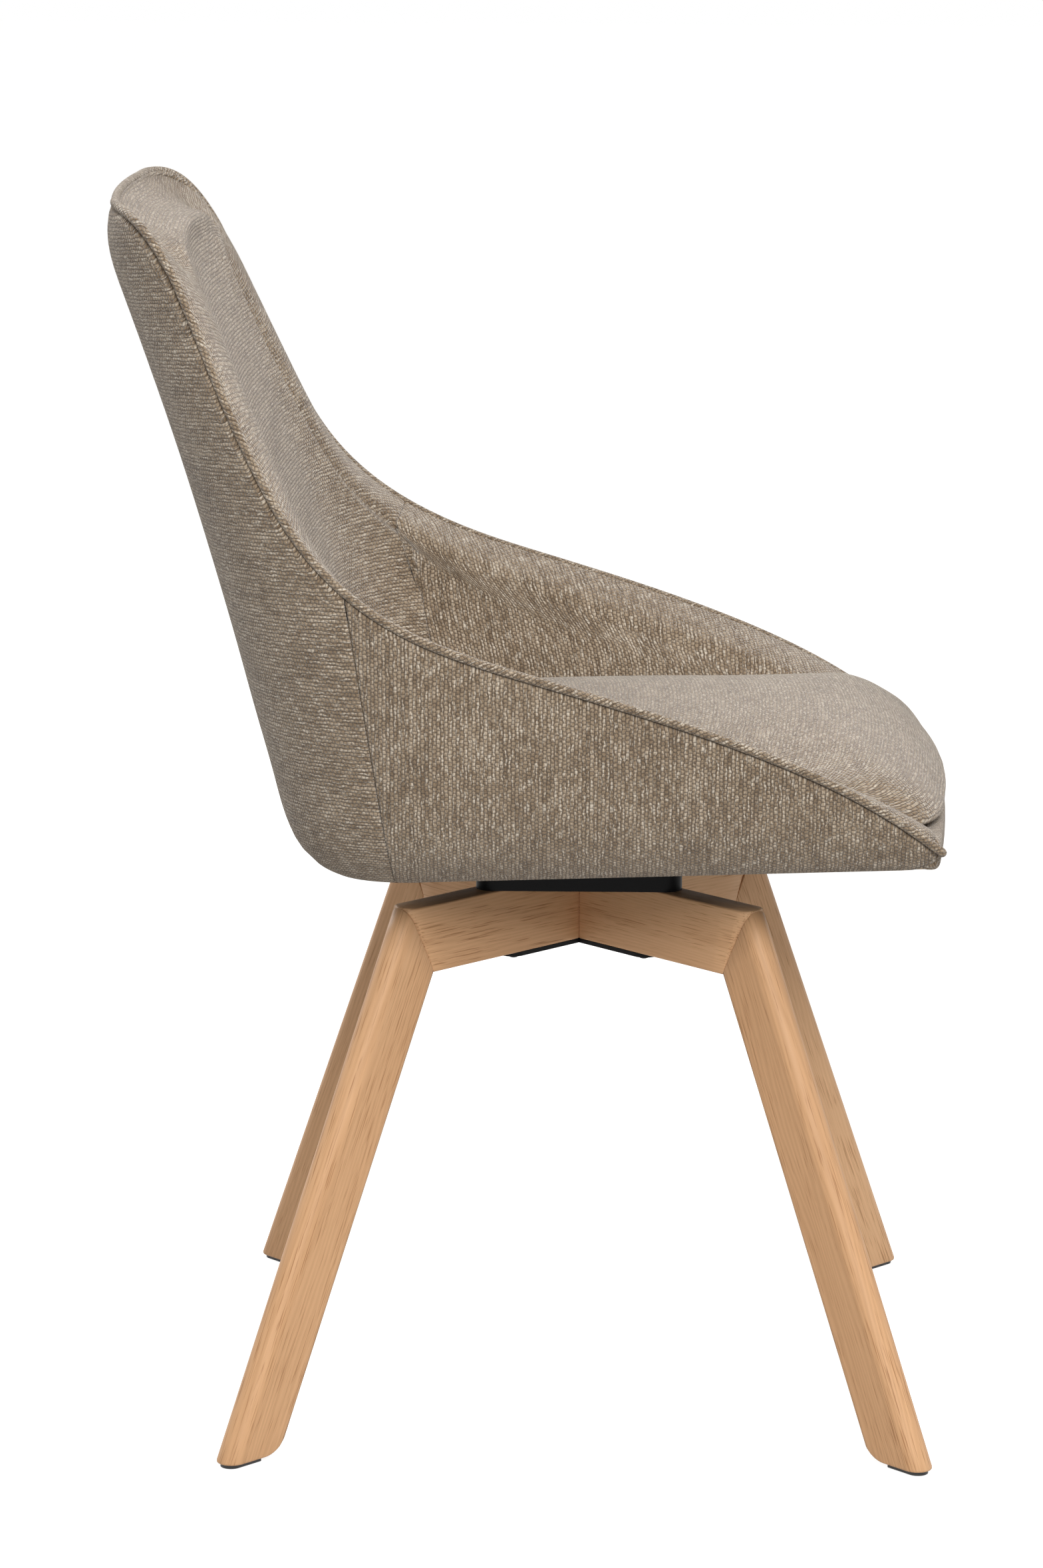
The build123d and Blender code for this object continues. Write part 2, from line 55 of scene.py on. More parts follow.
NOSE_CIRCLE = ((BOARD / 2)**2 + LEG_NOSE**2) / (2 * LEG_NOSE)       # the bullnose's radius
JOINT_EASE = 0.35           # the fine chamfer that shows each joint as a hairline
ANGLES = {"rear_left": 45, "rear_right": 135, "front_right": 225, "front_left": 315}


def mesh_piece(name, points, faces, body, material, key=None, vectors=None):
    """A smooth mesh object from points in millimetres and a list or array of faces, riding on a body.

    Where a key is given, each point's vector, in millimetres too, becomes that attribute in metres.
    """
    mesh = bpy.data.meshes.new(name)
    mesh.from_pydata((points * 0.001).tolist(), [], faces if isinstance(faces, list) else faces.tolist())
    if key:
        layer = mesh.attributes.new(key, "FLOAT_VECTOR", "POINT")
        layer.data.foreach_set("vector", (vectors * 0.001).astype(np.float32).ravel())
    mesh.shade_smooth()
    mesh.materials.append(material)
    piece = bpy.data.objects.new(name, mesh)
    bpy.context.scene.collection.objects.link(piece)
    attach(piece, body)
    return piece


def ring_faces(index):
    """Quads from each row of a table of point numbers to the next, closed from last column to first."""
    across = np.roll(index, -1, axis=1)
    return np.stack([index[:-1], across[:-1], across[1:], index[1:]], -1).reshape(-1, 4)


def outward(points, faces):
    """The faces, turned over if the skin's volume, the sum of a . (b x c) over its triangles, is negative."""
    volume = 0.0
    for size in (3, 4):
        chosen = np.array([face for face in faces if len(face) == size])
        if len(chosen):
            corners = points[chosen]
            for k in range(1, size - 1):
                cross = np.cross(corners[:, k], corners[:, k + 1])
                volume += np.einsum("ij,ij->i", corners[:, 0], cross).sum()
    return faces if volume > 0 else [face[::-1] for face in faces]


def skin(loops):
    """Points and outward faces of a closed skin over a stack of loops of equally many points each.

    Quads join each loop to the next, and each end is capped with a fan round its loop's mean.
    """
    rows, count = loops.shape[:2]
    index = np.arange(rows * count).reshape(rows, count)
    faces = ring_faces(index).tolist()
    points = np.vstack([loops.reshape(-1, 3), loops[0].mean(axis=0), loops[-1].mean(axis=0)])
    for centre, row, turn in ((rows * count, 0, -1), (rows * count + 1, -1, 1)):
        rim = np.stack([index[row], np.roll(index[row], -1)], -1)[:, ::turn]
        faces += [[int(a), int(b), centre] for a, b in rim]
    return points, outward(points, faces)


def run_along(points):
    """The distance from the first of a row of points to each of them, along straight lines between them."""
    return np.concatenate([[0], np.cumsum(np.linalg.norm(np.diff(points, axis=0), axis=1))])


def read_at(at, run, points):
    """A row of points read at other distances along it; run is the distance of each of its own."""
    return np.stack([np.interp(at, run, column) for column in points.T], -1)


def even_loop(loop, count):
    """A closed loop resampled to a number of points spaced evenly along it, starting at its first."""
    closed = np.vstack([loop, loop[:1]])
    run = run_along(closed)
    return read_at(np.linspace(0, run[-1], count, endpoint=False), run, closed)


def turned(points, degrees):
    """The points turned about the swivel axis: x cos - y sin, x sin + y cos."""
    c, s = math.cos(math.radians(degrees)), math.sin(math.radians(degrees))
    return points @ np.array([[c, s, 0], [-s, c, 0], [0, 0, 1]])


def rounded_box(half_width, low, high, radius, steps):
    """A rounded rectangle, anticlockwise from its lower right: each corner's centre + radius (cos, sin)."""
    quarter = np.linspace(0, math.pi / 2, steps)
    corners = []
    ends = [(half_width, low), (half_width, high), (-half_width, high), (-half_width, low)]
    for k, (x, y) in enumerate(ends):
        angle = quarter - math.pi / 2 + k * math.pi / 2
        centre = np.array([x - math.copysign(radius, x), y + (radius if y == low else -radius)])
        corners.append(centre + radius * np.stack([np.cos(angle), np.sin(angle)], -1))
    return np.vstack(corners)


def mitre_radius(height):
    """How far out the mitre of leg and rail lies at a height: a straight line from LEG_START to LEG_TIP."""
    return LEG_START + (height - RAIL_BOTTOM) / RAIL_HEIGHT * (LEG_TIP - LEG_START)


def nose_radius(across, height):
    """How far out the leg's outer face lies: the flat's end plus the bullnose, less the splay's drift."""
    bulge = np.sqrt(np.maximum(NOSE_CIRCLE**2 - across**2, 0)) - (NOSE_CIRCLE - LEG_NOSE)
    return FOOT_INNER + LEG_FLAT + bulge - (height - GLIDE) * math.tan(SPLAY)


def rail_piece():
    """A rail along +X: a rounded section carried from the pointed mitre at the middle to the leg's mitre."""
    middle = np.array([0, RAIL_TOP - RAIL_HEIGHT / 2])
    box = rounded_box(BOARD / 2, RAIL_BOTTOM, RAIL_TOP, 1.4, 6)
    loop = np.vstack([box, [[0, RAIL_TOP]], [[0, RAIL_BOTTOM]]])
    loop = loop[np.argsort(np.arctan2(loop[:, 1] - middle[1], loop[:, 0]))]

    def ring(scale, inset, along):
        """One loop: the section made smaller by a scale and an inset, at a share of the way outwards."""
        size = np.maximum(np.abs(loop - middle) * scale - inset, 0) * np.sign(loop - middle)
        across, up = (middle + size).T
        near = np.abs(across) + (JOINT_EASE if inset == 0 else 0)
        eased = 1.2 if scale == 1 and inset == 0 else 0
        far = np.minimum(mitre_radius(up), nose_radius(across, up) - eased)
        return np.stack([near + (far - near) * along, across, up], -1)

    rings = [ring(scale, JOINT_EASE, 0) for scale in (0.05, 0.5, 1)]
    rings += [ring(1, 0, along) for along in (0.004, 0.1, 0.3, 0.5, 0.7, 0.9, 0.997)]
    rings += [ring(scale, JOINT_EASE, 1) for scale in (1, 0.96, 0.9, 0.8, 0.65, 0.5, 0.35, 0.2, 0.05)]
    return skin(np.array(rings))


def leg_piece():
    """A leg: a level section with flat sides and a bullnose, carried up the splay to its mitre.

    The foot's underside follows a circle of FOOT_ROUND that touches the floor side and the inner face.
    """
    half, ease = BOARD / 2, 2.0
    bend = np.linspace(-1, 1, 15) * math.asin(half / NOSE_CIRCLE)
    nose_middle = FOOT_INNER + LEG_FLAT + LEG_NOSE - NOSE_CIRCLE
    nose = np.stack([nose_middle + NOSE_CIRCLE * np.cos(bend), NOSE_CIRCLE * np.sin(bend)], -1)
    quarter = np.linspace(0, math.pi / 2, 5)
    left = np.stack([FOOT_INNER + ease - ease * np.sin(quarter), half - ease + ease * np.cos(quarter)], -1)
    loop = even_loop(np.vstack([nose, left, left[::-1] * [1, -1]]), 64)
    middle = np.array([FOOT_INNER + 22.0, 0.0])
    up_leg = np.array([-math.sin(SPLAY), math.cos(SPLAY)])
    tangent = FOOT_ROUND / math.tan((math.pi / 2 + SPLAY) / 2)
    centre = np.array([FOOT_INNER + tangent, GLIDE + FOOT_ROUND])

    def foot(out):
        """Distance up the leg to the foot's rounding: the lower root of |start + s up - centre| = r."""
        start = np.stack([out, np.full_like(out, GLIDE)], -1) - centre
        along = start @ up_leg
        root = np.sqrt(np.maximum(along**2 - (start**2).sum(-1) + FOOT_ROUND**2, 0))
        return np.where(out < centre[0], np.maximum(-along - root, 0), 0)

    def head(out):
        """Distance up the leg to the mitre with the rail, or to the level of the rail's top."""
        slope = (LEG_TIP - LEG_START) / RAIL_HEIGHT
        rise = (out - LEG_START + slope * (RAIL_BOTTOM - GLIDE)) / (math.tan(SPLAY) + slope)
        return np.minimum(rise, RAIL_TOP - GLIDE) / math.cos(SPLAY)

    def ring(scale, along, shift=0.0):
        """One loop: the section drawn in by a scale, at a share of the way up the leg, plus a shift."""
        out, across = (middle + (loop - middle) * scale).T
        low = foot(out)
        distance = low + (head(out) - low) * along + shift
        return np.stack([out + up_leg[0] * distance, across, GLIDE + up_leg[1] * distance], -1)

    rings = [ring(scale, 0) for scale in (0.05, 0.25, 0.45, 0.6, 0.75, 0.85, 0.92)]
    rings += [ring(0.965, 0, 0.1), ring(0.985, 0, 0.5), ring(1, 0, 1.6)]
    rings += [ring(1, along) for along in (0.04, 0.1, 0.25, 0.4, 0.55, 0.7, 0.85, 0.95)]
    rings += [ring(1, 1, -JOINT_EASE), ring(0.985, 1)]
    rings += [ring(scale, 1) for scale in (0.9, 0.75, 0.5, 0.25, 0.05)]
    return skin(np.array(rings))


def node_tools(owner):
    """For a material or world: a function that adds a shader node with its inputs, and one for arithmetic."""
    owner.use_nodes = True
    tree = owner.node_tree
    tree.nodes.clear()

    def add(kind, inputs=None, **settings):
        """A new node; an input that is given a socket is linked to it, and any other is set."""
        node = tree.nodes.new("ShaderNode" + kind)
        for key, value in settings.items():
            setattr(node, key, value)
        for key, value in (inputs or {}).items():
            if isinstance(value, bpy.types.NodeSocket):
                tree.links.new(value, node.inputs[key])
            else:
                node.inputs[key].default_value = value
        return node

    def math_of(operation, *values):
        """The result of an arithmetic node."""
        return add("Math", dict(enumerate(values)), operation=operation).outputs[0]

    return add, math_of


def new_material(name):
    """A new material and its node tools."""
    material = bpy.data.materials.new(name)
    return material, *node_tools(material)


def noise(add, vector, scale, detail, rough=0.5):
    """The value of a noise read at a vector."""
    values = {"Vector": vector, "Scale": scale, "Detail": detail, "Roughness": rough}
    return add("TexNoise", values).outputs[0]


def stretched(add, vector, scale):
    """A vector multiplied by a scale on each axis."""
    return add("Mapping", {0: vector, "Scale": scale}).outputs[0]


def ramp(add, value, stops):
    """A colour ramp through (place, colour) stops."""
    node = add("ValToRGB", {0: value})
    elements = node.color_ramp.elements
    while len(elements) < len(stops):
        elements.new(0.5)
    for element, (place, colour) in zip(elements, stops):
        element.position = place
        element.color = (*colour, 1)
    return node.outputs[0]


def surface(add, inputs, height, strength, distance):
    """Closes a material with a Principled shader and a bump from the height."""
    bump = add("Bump", {"Height": height, "Strength": strength, "Distance": distance})
    shader = add("BsdfPrincipled", {**inputs, "Normal": bump.outputs[0]})
    add("OutputMaterial", {0: shader.outputs[0]})


def oak_material():
    """Oak: a soft yearly figure drawn out along the board, thin dark pores and pale flecks.

    The figure is a wave across the board, pushed about by a long slow noise. The pores are a very fine noise,
    nearly 40 times as long as wide, denser in patches.
    """
    material, add, math_of = new_material("lacquered_oak")
    grain = add("Attribute", attribute_name="grain").outputs["Vector"]
    drift = noise(add, stretched(add, grain, (1.8, 24.0, 24.0)), 1.0, 2.0)
    drawn_out = stretched(add, grain, (0.9, 30.0, 95.0))
    shifted = add("VectorMath", {0: drawn_out, 1: math_of("MULTIPLY", drift, 6.0)},
                  operation="ADD").outputs[0]
    bands = add("TexWave", {"Vector": shifted, "Scale": 1.0, "Distortion": 1.2, "Detail": 2.0,
                            "Detail Scale": 1.2},
                wave_type="BANDS", bands_direction="Z").outputs[1]
    pores = noise(add, stretched(add, grain, (30.0, 1150.0, 1150.0)), 1.0, 2.0, 0.6)
    tone = math_of("ADD", math_of("MULTIPLY", bands, 0.16), math_of("MULTIPLY_ADD", drift, 0.84, 0.02))
    colour = ramp(add, tone, [(0.25, (0.555, 0.315, 0.16)), (0.5, (0.655, 0.385, 0.205)),
                              (0.75, (0.73, 0.45, 0.25))])
    patch = noise(add, stretched(add, grain, (9.0, 60.0, 60.0)), 1.0, 2.0)
    open_grain = math_of("SUBTRACT", pores, math_of("MULTIPLY_ADD", patch, -0.22, 0.11))
    dark = ramp(add, open_grain, [(0.32, (0.58, 0.48, 0.38)), (0.43, (1, 1, 1)), (0.62, (1, 1, 1)),
                                  (0.7, (1.09, 1.1, 1.1))])
    mixed = add("MixRGB", {0: 0.85, 1: colour, 2: dark}, blend_type="MULTIPLY").outputs[0]
    surface(add, {"Base Color": mixed, "Roughness": math_of("MULTIPLY_ADD", pores, -0.2, 0.62),
                  "Specular IOR Level": 0.35}, pores, 0.08, 0.0002)
    return material


oak = oak_material()
for number, (corner, angle) in enumerate(ANGLES.items()):
    for kind, (points, faces) in (("rail", rail_piece()), ("leg", leg_piece())):
        board = [911.0 * number + 400.0 * (kind == "leg"), 37.0 * number, 53.0 * number]
        if kind == "rail":
            grain = points - [0, 0, RAIL_BOTTOM]
        else:
            along = points @ [-math.sin(SPLAY), 0, math.cos(SPLAY)]
            grain = np.stack([along, points[:, 1], points @ [math.cos(SPLAY), 0, math.sin(SPLAY)] - 300], -1)
        piece = mesh_piece(f"{kind}_{corner}_oak", turned(points, angle), faces, "base", oak, "grain",
                           grain + board)
        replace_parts(piece, f"{kind}_{corner}")

# ---------------------------------------------------------------------------------------------------------
# Outer covers: one woven panel over each side and one over the back, on thin foam over the moulded plywood
# shell. They meet in a plain seam down each side, turn in under the piping and are stapled under the seat.
LEVELS = np.array([
    (390, 187, 163, 60), (400, 197, 181, 74), (415, 214, 196.5, 92), (432, 226, 204.5, 105),
    (461, 235, 212.5, 118), (502, 241, 224, 130), (547, 244, 236.5, 140), (612, 244, 255.5, 148),
    (687, 240, 279, 150), (735, 234, 296, 150), (783, 220, 315, 150), (812, 212, 324, 140),
    (836, 210, 324, 127), (856, 209, 318, 114)], float)         # height, half width, back, corner radius
RIM = np.array([
    (330, 847), (306, 845), (280.5, 822), (250, 760), (217, 687), (187, 637), (134, 590), (24.5, 547),
    (-112, 502), (-198, 461), (-240, 431), (-262, 411)], float)         # y and z, seen from the side
SEAT_UNDER, SEAT_SLOPE, FRONT, SIDE_TAPER, BACK_CROWN = 405.0, 0.04, -262.0, 0.02, 4.0
BUCKET_LOW, BUCKET_HIGH = 395.0, 856.0
OUTER_SEAM, INNER_SEAM = (124.0, 404.0, 0.157), (115.0, 503.0, 0.215)       # y, z and lean
PIPING = 2.95               # radius of the piping
SEAM_TUCK, SEAM_WIDTH = 1.7, 3.6        # how deep and how wide the fabric rounds into a seam
PANEL_START = 29.0          # the side panels begin this far along the rim, beside the front band
FOLD, FOLD_DROP, FOOT_LEVEL = 5.5, 0.9, 410.0       # the turn under the seat: round, drop and height
MIRROR = [-1, 1, 1]


def smooth(at, xs, ys):
    """A natural cubic spline through (xs, ys), read at any places; its bends solve a linear system."""
    xs, ys, at = np.asarray(xs, float), np.asarray(ys, float), np.asarray(at, float)
    step, rise = np.diff(xs), np.diff(ys) / np.diff(xs)
    system = np.eye(len(xs))
    inner = np.arange(1, len(xs) - 1)
    system[inner, inner - 1], system[inner, inner + 1] = step[:-1], step[1:]
    system[inner, inner] = 2 * (step[:-1] + step[1:])
    bend = np.linalg.solve(system, np.concatenate([[0], 6 * np.diff(rise), [0]]))
    k = np.clip(np.searchsorted(xs, at) - 1, 0, len(step) - 1)
    left, right = (at - xs[k]) / step[k], (xs[k + 1] - at) / step[k]
    return (right * ys[k] + left * ys[k + 1]
            + step[k]**2 / 6 * ((right**3 - right) * bend[k] + (left**3 - left) * bend[k + 1]))


def level_sizes(z):
    """The bucket's half width, back and corner radius at a height."""
    return [smooth(z, LEVELS[:, 0], LEVELS[:, k]) for k in (1, 2, 3)]


def level_point(q, z, half, back, corner):
    """A point on a D-shaped outline: q runs 0 to 1 back along the side, on to 2 round the corner, and to 3
    at the middle of the back."""
    side, flat = back - corner, half - corner
    turn = np.clip(q - 1, 0, 1) * math.pi / 2
    y_side = FRONT + (side - FRONT) * np.clip(q, 0, 1)
    x_back = flat * (3 - np.clip(q, 2, 3))
    x_side, x_corner = half - SIDE_TAPER * (side - y_side), flat + corner * np.cos(turn)
    x = np.where(q < 1, x_side, np.where(q < 2, x_corner, x_back))
    y_corner = side + corner * np.sin(turn) - BACK_CROWN * np.sin(turn)**6
    y = np.where(q < 1, y_side, np.where(q < 2, y_corner, back - BACK_CROWN * (x_back / flat)**2))
    return np.stack(np.broadcast_arrays(x, y, z), -1)


def outside(q, z, inset=0.0):
    """The bucket's outside at place q and height z, drawn in by an inset."""
    return level_point(q, z, *(size - inset for size in level_sizes(z)))


def under_seat(y):
    """The height of the seat board's underside."""
    return SEAT_UNDER - SEAT_SLOPE * y


def edge_height(rim):
    """The height of a side-view edge at any y, from a spline through its points by distance along it."""
    rim = rim[::-1]
    run = run_along(rim)
    fine = np.linspace(0, run[-1], 800)
    ys, zs = smooth(fine, run, rim[:, 0]), smooth(fine, run, rim[:, 1])
    return lambda y: np.interp(y, ys, zs)


def trace_rim(shape, edge):
    """Where a bucket shape meets an edge seen from the side: its height at each q, halved in on 40 times."""
    q = np.concatenate([np.linspace(0, 1, 500), np.linspace(1, 2, 1201)[1:], np.linspace(2, 3, 200)[1:]])
    low, high = np.full_like(q, BUCKET_LOW), np.full_like(q, BUCKET_HIGH)
    for _ in range(40):
        middle = (low + high) / 2
        below = edge(shape(q, middle)[..., 1]) > middle
        low, high = np.where(below, middle, low), np.where(below, high, middle)
    points = shape(q, low)
    return {"q": q[:, None], "z": low[:, None], "points": points, "along": run_along(points)}


def read(rim, at, key):
    """A rim's q, z or point at a distance along it."""
    values = read_at(at, rim["along"], rim[key])
    return values if key == "points" else values[..., 0]


def seam_curve(shape, seam):
    """A function that gives a seam's place q at any height: where the shape's y is the seam plane's."""
    foot_y, foot_z, lean = seam
    z, q = np.linspace(BUCKET_LOW, BUCKET_HIGH, 120), np.linspace(0.3, 2.0, 600)
    table = shape(q[:, None], z[None, :])[..., 1]
    places = [np.interp(y, column, q) for y, column in zip(foot_y + lean * (z - foot_z), table.T)]
    return lambda at: np.interp(at, z, places)


def meeting(rim, seam):
    """The distance along a rim at which it meets a seam's plane."""
    foot_y, foot_z, lean = seam
    gap = rim["points"][:, 1] - foot_y - lean * (rim["points"][:, 2] - foot_z)
    return rim["along"][np.argmax(gap > 0)]


def tuck(distance, depth=SEAM_TUCK, width=SEAM_WIDTH):
    """How far fabric dips beside a seam: a quarter ellipse from the depth, level at the width."""
    return depth * (1 - np.sqrt(1 - np.clip(1 - distance / width, 0, 1)**2))


def grid_faces(rows, columns):
    """Quads of a rows by columns grid of points."""
    index = np.arange(rows * columns).reshape(rows, columns)
    return np.stack([index[:-1, :-1], index[:-1, 1:], index[1:, 1:], index[1:, :-1]], -1).reshape(-1, 4)


def cloth_at(first, second):
    """Places on the cloth from their two coordinates, one after the other for each point."""
    return np.stack([first, second, 0 * first], -1).reshape(-1, 3)


def cloth_piece(name, points, faces, cloth):
    """A piece of the bucket's own cloth on the seat."""
    return mesh_piece(name, points, faces, "seat", fabric, "cloth", cloth)


def thicken(piece, thickness):
    """Gives an open sheet its thickness in metres, behind its face."""
    solid = piece.modifiers.new("thickness", "SOLIDIFY")
    solid.thickness, solid.offset = thickness, -1


def doubled(grid, sign=1):
    """A grid and, past its last column, its mirror image, each value times a sign."""
    return np.concatenate([grid, grid[:, -2::-1] * sign], 1)


def warp_length(z, column):
    """The length of fabric up the bucket's wall to a height, along the profile in one column of LEVELS."""
    fine = np.linspace(390, 860, 300)
    profile = smooth(fine, LEVELS[:, 0], LEVELS[:, column])
    return np.interp(z, fine, run_along(np.stack([fine, profile], -1)))


def warp_at(q, z):
    """The length of fabric up the wall at a place: the side's, blended round the corner into the back's."""
    weight = np.sin(np.clip(q - 1, 0, 1) * math.pi / 2)**2
    return warp_length(z, 1) * (1 - weight) + warp_length(z, 2) * weight


rim_edge = edge_height(RIM)
outer_rim = trace_rim(outside, rim_edge)
outer_seam_q = seam_curve(outside, OUTER_SEAM)
outer_seam_at = meeting(outer_rim, OUTER_SEAM)
middle_at = outer_rim["along"][-1]


def cover(start, end, columns, low_q, high_q, start_tuck, proud=0.0):
    """An outer cover between two places along the rim, from its fold under the seat to the piping.

    Each column runs straight in (q, z) from a place on the seat's lower edge to its place on the rim;
    low_q and high_q are the seams' places at a height, and a point's place is shared out between them.
    start_tuck is the depth of the first seam, and proud is how far the panel bellies out half way up.
    """
    near_ends = np.array([0.6, 1.4, 2.6, 4.2, 6.0])
    at = np.unique(np.concatenate([np.linspace(start, end, columns), start + near_ends, end - near_ends]))
    q_top, z_top = read(outer_rim, at, "q"), read(outer_rim, at, "z")
    w_top = (q_top - low_q(z_top)) / (high_q(z_top) - low_q(z_top))
    fine = np.linspace(0, 1, 4000)
    level = np.full(4000, FOOT_LEVEL)
    line = outside(low_q(level) + (high_q(level) - low_q(level)) * fine, level)
    run = run_along(line)
    w_foot = np.interp((at - start) / (end - start) * run[-1], run, fine)
    z_foot = under_seat(np.interp(w_foot, fine, line[:, 1]))
    turn = np.linspace(0, math.pi / 2, 7)
    fold_inset = np.concatenate([[26.0, 14.0], FOLD * (1 - np.sin(turn))])
    fold_rise = np.concatenate([[0, 0], (FOLD + FOLD_DROP) * (1 - np.cos(turn))]) - FOLD_DROP
    wall = np.concatenate([np.linspace(0.03, 0.9, 44), np.linspace(0.915, 0.985, 8)])
    top_drop = np.array([9.0, 7.4, 6.2, 5.2, 4.4, 3.7, 3.0, 2.2, 0.4])
    grade = 1 / np.sqrt(np.maximum(1 - np.gradient(z_top, at)**2, 0.16))
    height = np.maximum(z_top - z_foot, 9.0)
    rows = [z_foot + np.minimum(r, height * 0.4) for r in fold_rise]
    rows += [z_foot + FOLD + np.maximum(height - FOLD - 10.0 * grade, 0.1) * w for w in wall]
    rows += [np.maximum(z_top - d * grade, z_foot + FOLD + 0.1 + (9.2 - d) * 0.2) for d in top_drop]
    z = np.array(rows)
    inset = np.concatenate([fold_inset, np.zeros(len(wall)), tuck(top_drop - 2.8, 4.2, 4.4)])[:, None]
    lift = np.clip((z - z_foot) / np.maximum(z_top - z_foot, 1e-6), 0, 1)
    q = low_q(z) + (high_q(z) - low_q(z)) * (w_foot + (w_top - w_foot) * lift)
    beside = np.maximum(tuck(end - at) * (end < middle_at), tuck(at - start, start_tuck, 2.4 * start_tuck))
    puffed = proud * np.sin(math.pi * np.clip((z - 430.0) / 430.0, 0, 1))**0.5
    half, back, corner = level_sizes(z)
    weft = (np.clip(q, 0, 1) * (back - corner - FRONT) + np.clip(q - 1, 0, 1) * corner * math.pi / 2
            + np.clip(q - 2, 0, 1) * (half - corner))
    return outside(q, z, inset + beside - puffed), weft, warp_at(q, z) - inset


def fabric_material():
    """The bucket's cloth: a coarse weave of taupe melange yarns, whose warp shows as rows of beads like rice.

    The attribute cloth gives the place along weft and warp in metres. Warp yarns lie 2.6 mm apart, their
    beads are 2.9 mm long, and each yarn's beads stand half a bead beyond its neighbour's. A bead's height
    is the product of two arches, sin(pi x)^0.55 across the yarn and sin(pi y)^0.45 along it. Its tone adds
    chance, streaks along the yarn, clouds and fibre; a fine cream thread shows here and there on the warp.
    Painted shade darkens the colour in the gaps, where a bead is low, and a slight painted highlight lifts
    its crown.
    """
    material, add, math_of = new_material("melange_weave")
    cloth = add("Attribute", attribute_name="cloth").outputs["Vector"]
    sway = add("TexNoise", {"Vector": cloth, "Scale": 190.0, "Detail": 1.0}).outputs["Color"]
    swayed = add("MixRGB", {0: 0.0011, 1: cloth, 2: sway}, blend_type="LINEAR_LIGHT").outputs[0]
    place = add("Mapping", {0: swayed, "Scale": (385.0, 345.0, 0.0),
                            "Location": (400.0, 400.0, 0.0)}).outputs[0]
    parts = add("SeparateXYZ", {0: place}).outputs
    u = parts[0]
    number = math_of("FLOOR", u)
    v = math_of("MULTIPLY_ADD", number, 0.5, parts[1])

    def arch(at, power):
        """sin(pi x) to a power, over each whole step of a place."""
        return math_of("POWER", math_of("SINE", math_of("MULTIPLY", math_of("FRACT", at), math.pi)), power)

    def shade(across, along, detail, offset=0.0):
        """A noise over two places, each given with its scale, on a layer of its own."""
        vector = add("CombineXYZ", {0: math_of("MULTIPLY", *across), 1: math_of("MULTIPLY", *along),
                                    2: offset})
        return noise(add, vector.outputs[0], 1.0, detail, 0.65)

    bead = math_of("MULTIPLY", arch(u, 0.55), arch(v, 0.45))
    cell = add("CombineXYZ", {0: number, 1: math_of("FLOOR", v)}).outputs[0]
    chance = add("TexWhiteNoise", {"Vector": cell}).outputs["Value"]
    streak = shade((number, 3.17), (v, 0.085), 2.0)
    thread = shade((u, 2.3), (v, 0.36), 1.0, 5.0)
    fibre = shade((u, 3.6), (v, 1.9), 2.0, 9.0)
    cloud = noise(add, cloth, 26.0, 1.0)
    tone = math_of("MULTIPLY_ADD", fibre, 0.9, -0.6)
    for part, share in ((streak, 0.85), (chance, 0.2), (cloud, 0.16)):
        tone = math_of("MULTIPLY_ADD", part, share, tone)
    yarn = ramp(add, tone, [(0.2, (0.15, 0.105, 0.066)), (0.42, (0.255, 0.189, 0.125)),
                            (0.6, (0.365, 0.287, 0.205)), (0.85, (0.56, 0.475, 0.375))])
    shine = ramp(add, math_of("MULTIPLY_ADD", cloud, 0.12, thread), [(0.6, (0, 0, 0)), (0.7, (1, 1, 1))])
    lit = add("MixRGB", {0: math_of("MULTIPLY", shine, 0.7), 1: yarn, 2: (0.66, 0.6, 0.51, 1)}).outputs[0]
    # painted shade: where a bead is low, in the gaps between beads and yarns, the colour is multiplied down
    # to 0.3; the bead's crown gets a slight painted highlight of 1.05
    gap = ramp(add, bead, [(0.08, (0.3, 0.265, 0.235)), (0.45, (0.74, 0.71, 0.685)),
                           (0.8, (1.05, 1.05, 1.05))])
    colour = add("MixRGB", {0: 1.0, 1: lit, 2: gap}, blend_type="MULTIPLY").outputs[0]
    surface(add, {"Base Color": colour, "Roughness": 0.95, "Specular IOR Level": 0.15, "Sheen Weight": 0.55,
                  "Sheen Roughness": 0.5, "Sheen Tint": (1.0, 0.955, 0.92, 1)}, bead, 0.85, 0.0011)
    return material


def front_end(z):
    """Place q of the side panels' front edge: level with the band's end, and rounded back at the bottom."""
    low = 1 - np.clip((z - 413.0) / 16.0, 0, 1)
    return (20.0 + 14.0 * low**2) / 355.0


def panel(points, cloth, name, flip=False):
    """A woven panel on a grid of points, 2 mm thick."""
    faces = grid_faces(*points.shape[:2])
    piece = cloth_piece(name, points.reshape(-1, 3), faces[:, ::-1] if flip else faces, cloth)
    thicken(piece, 0.002)
    return piece


fabric = fabric_material()
points, weft, warp = cover(PANEL_START, outer_seam_at, 70, front_end, outer_seam_q, 5.0)
for side, name in ((1, "left"), (-1, "right")):
    piece = panel(points * [side, 1, 1], cloth_at(weft, warp), f"outer_side_{name}", side < 0)
    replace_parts(piece, f"outer_side_cover_{name}")
points, weft, warp = cover(outer_seam_at, middle_at, 84, outer_seam_q, lambda z: 3.0 + 0.0 * z,
                           SEAM_TUCK, 1.6)
weft = doubled(weft - weft[0, -1], -1) + weft[0, -1] - 700.0
piece = panel(doubled(points, MIRROR), cloth_at(doubled(warp), weft), "outer_back")
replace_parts(piece, "outer_back_cover")

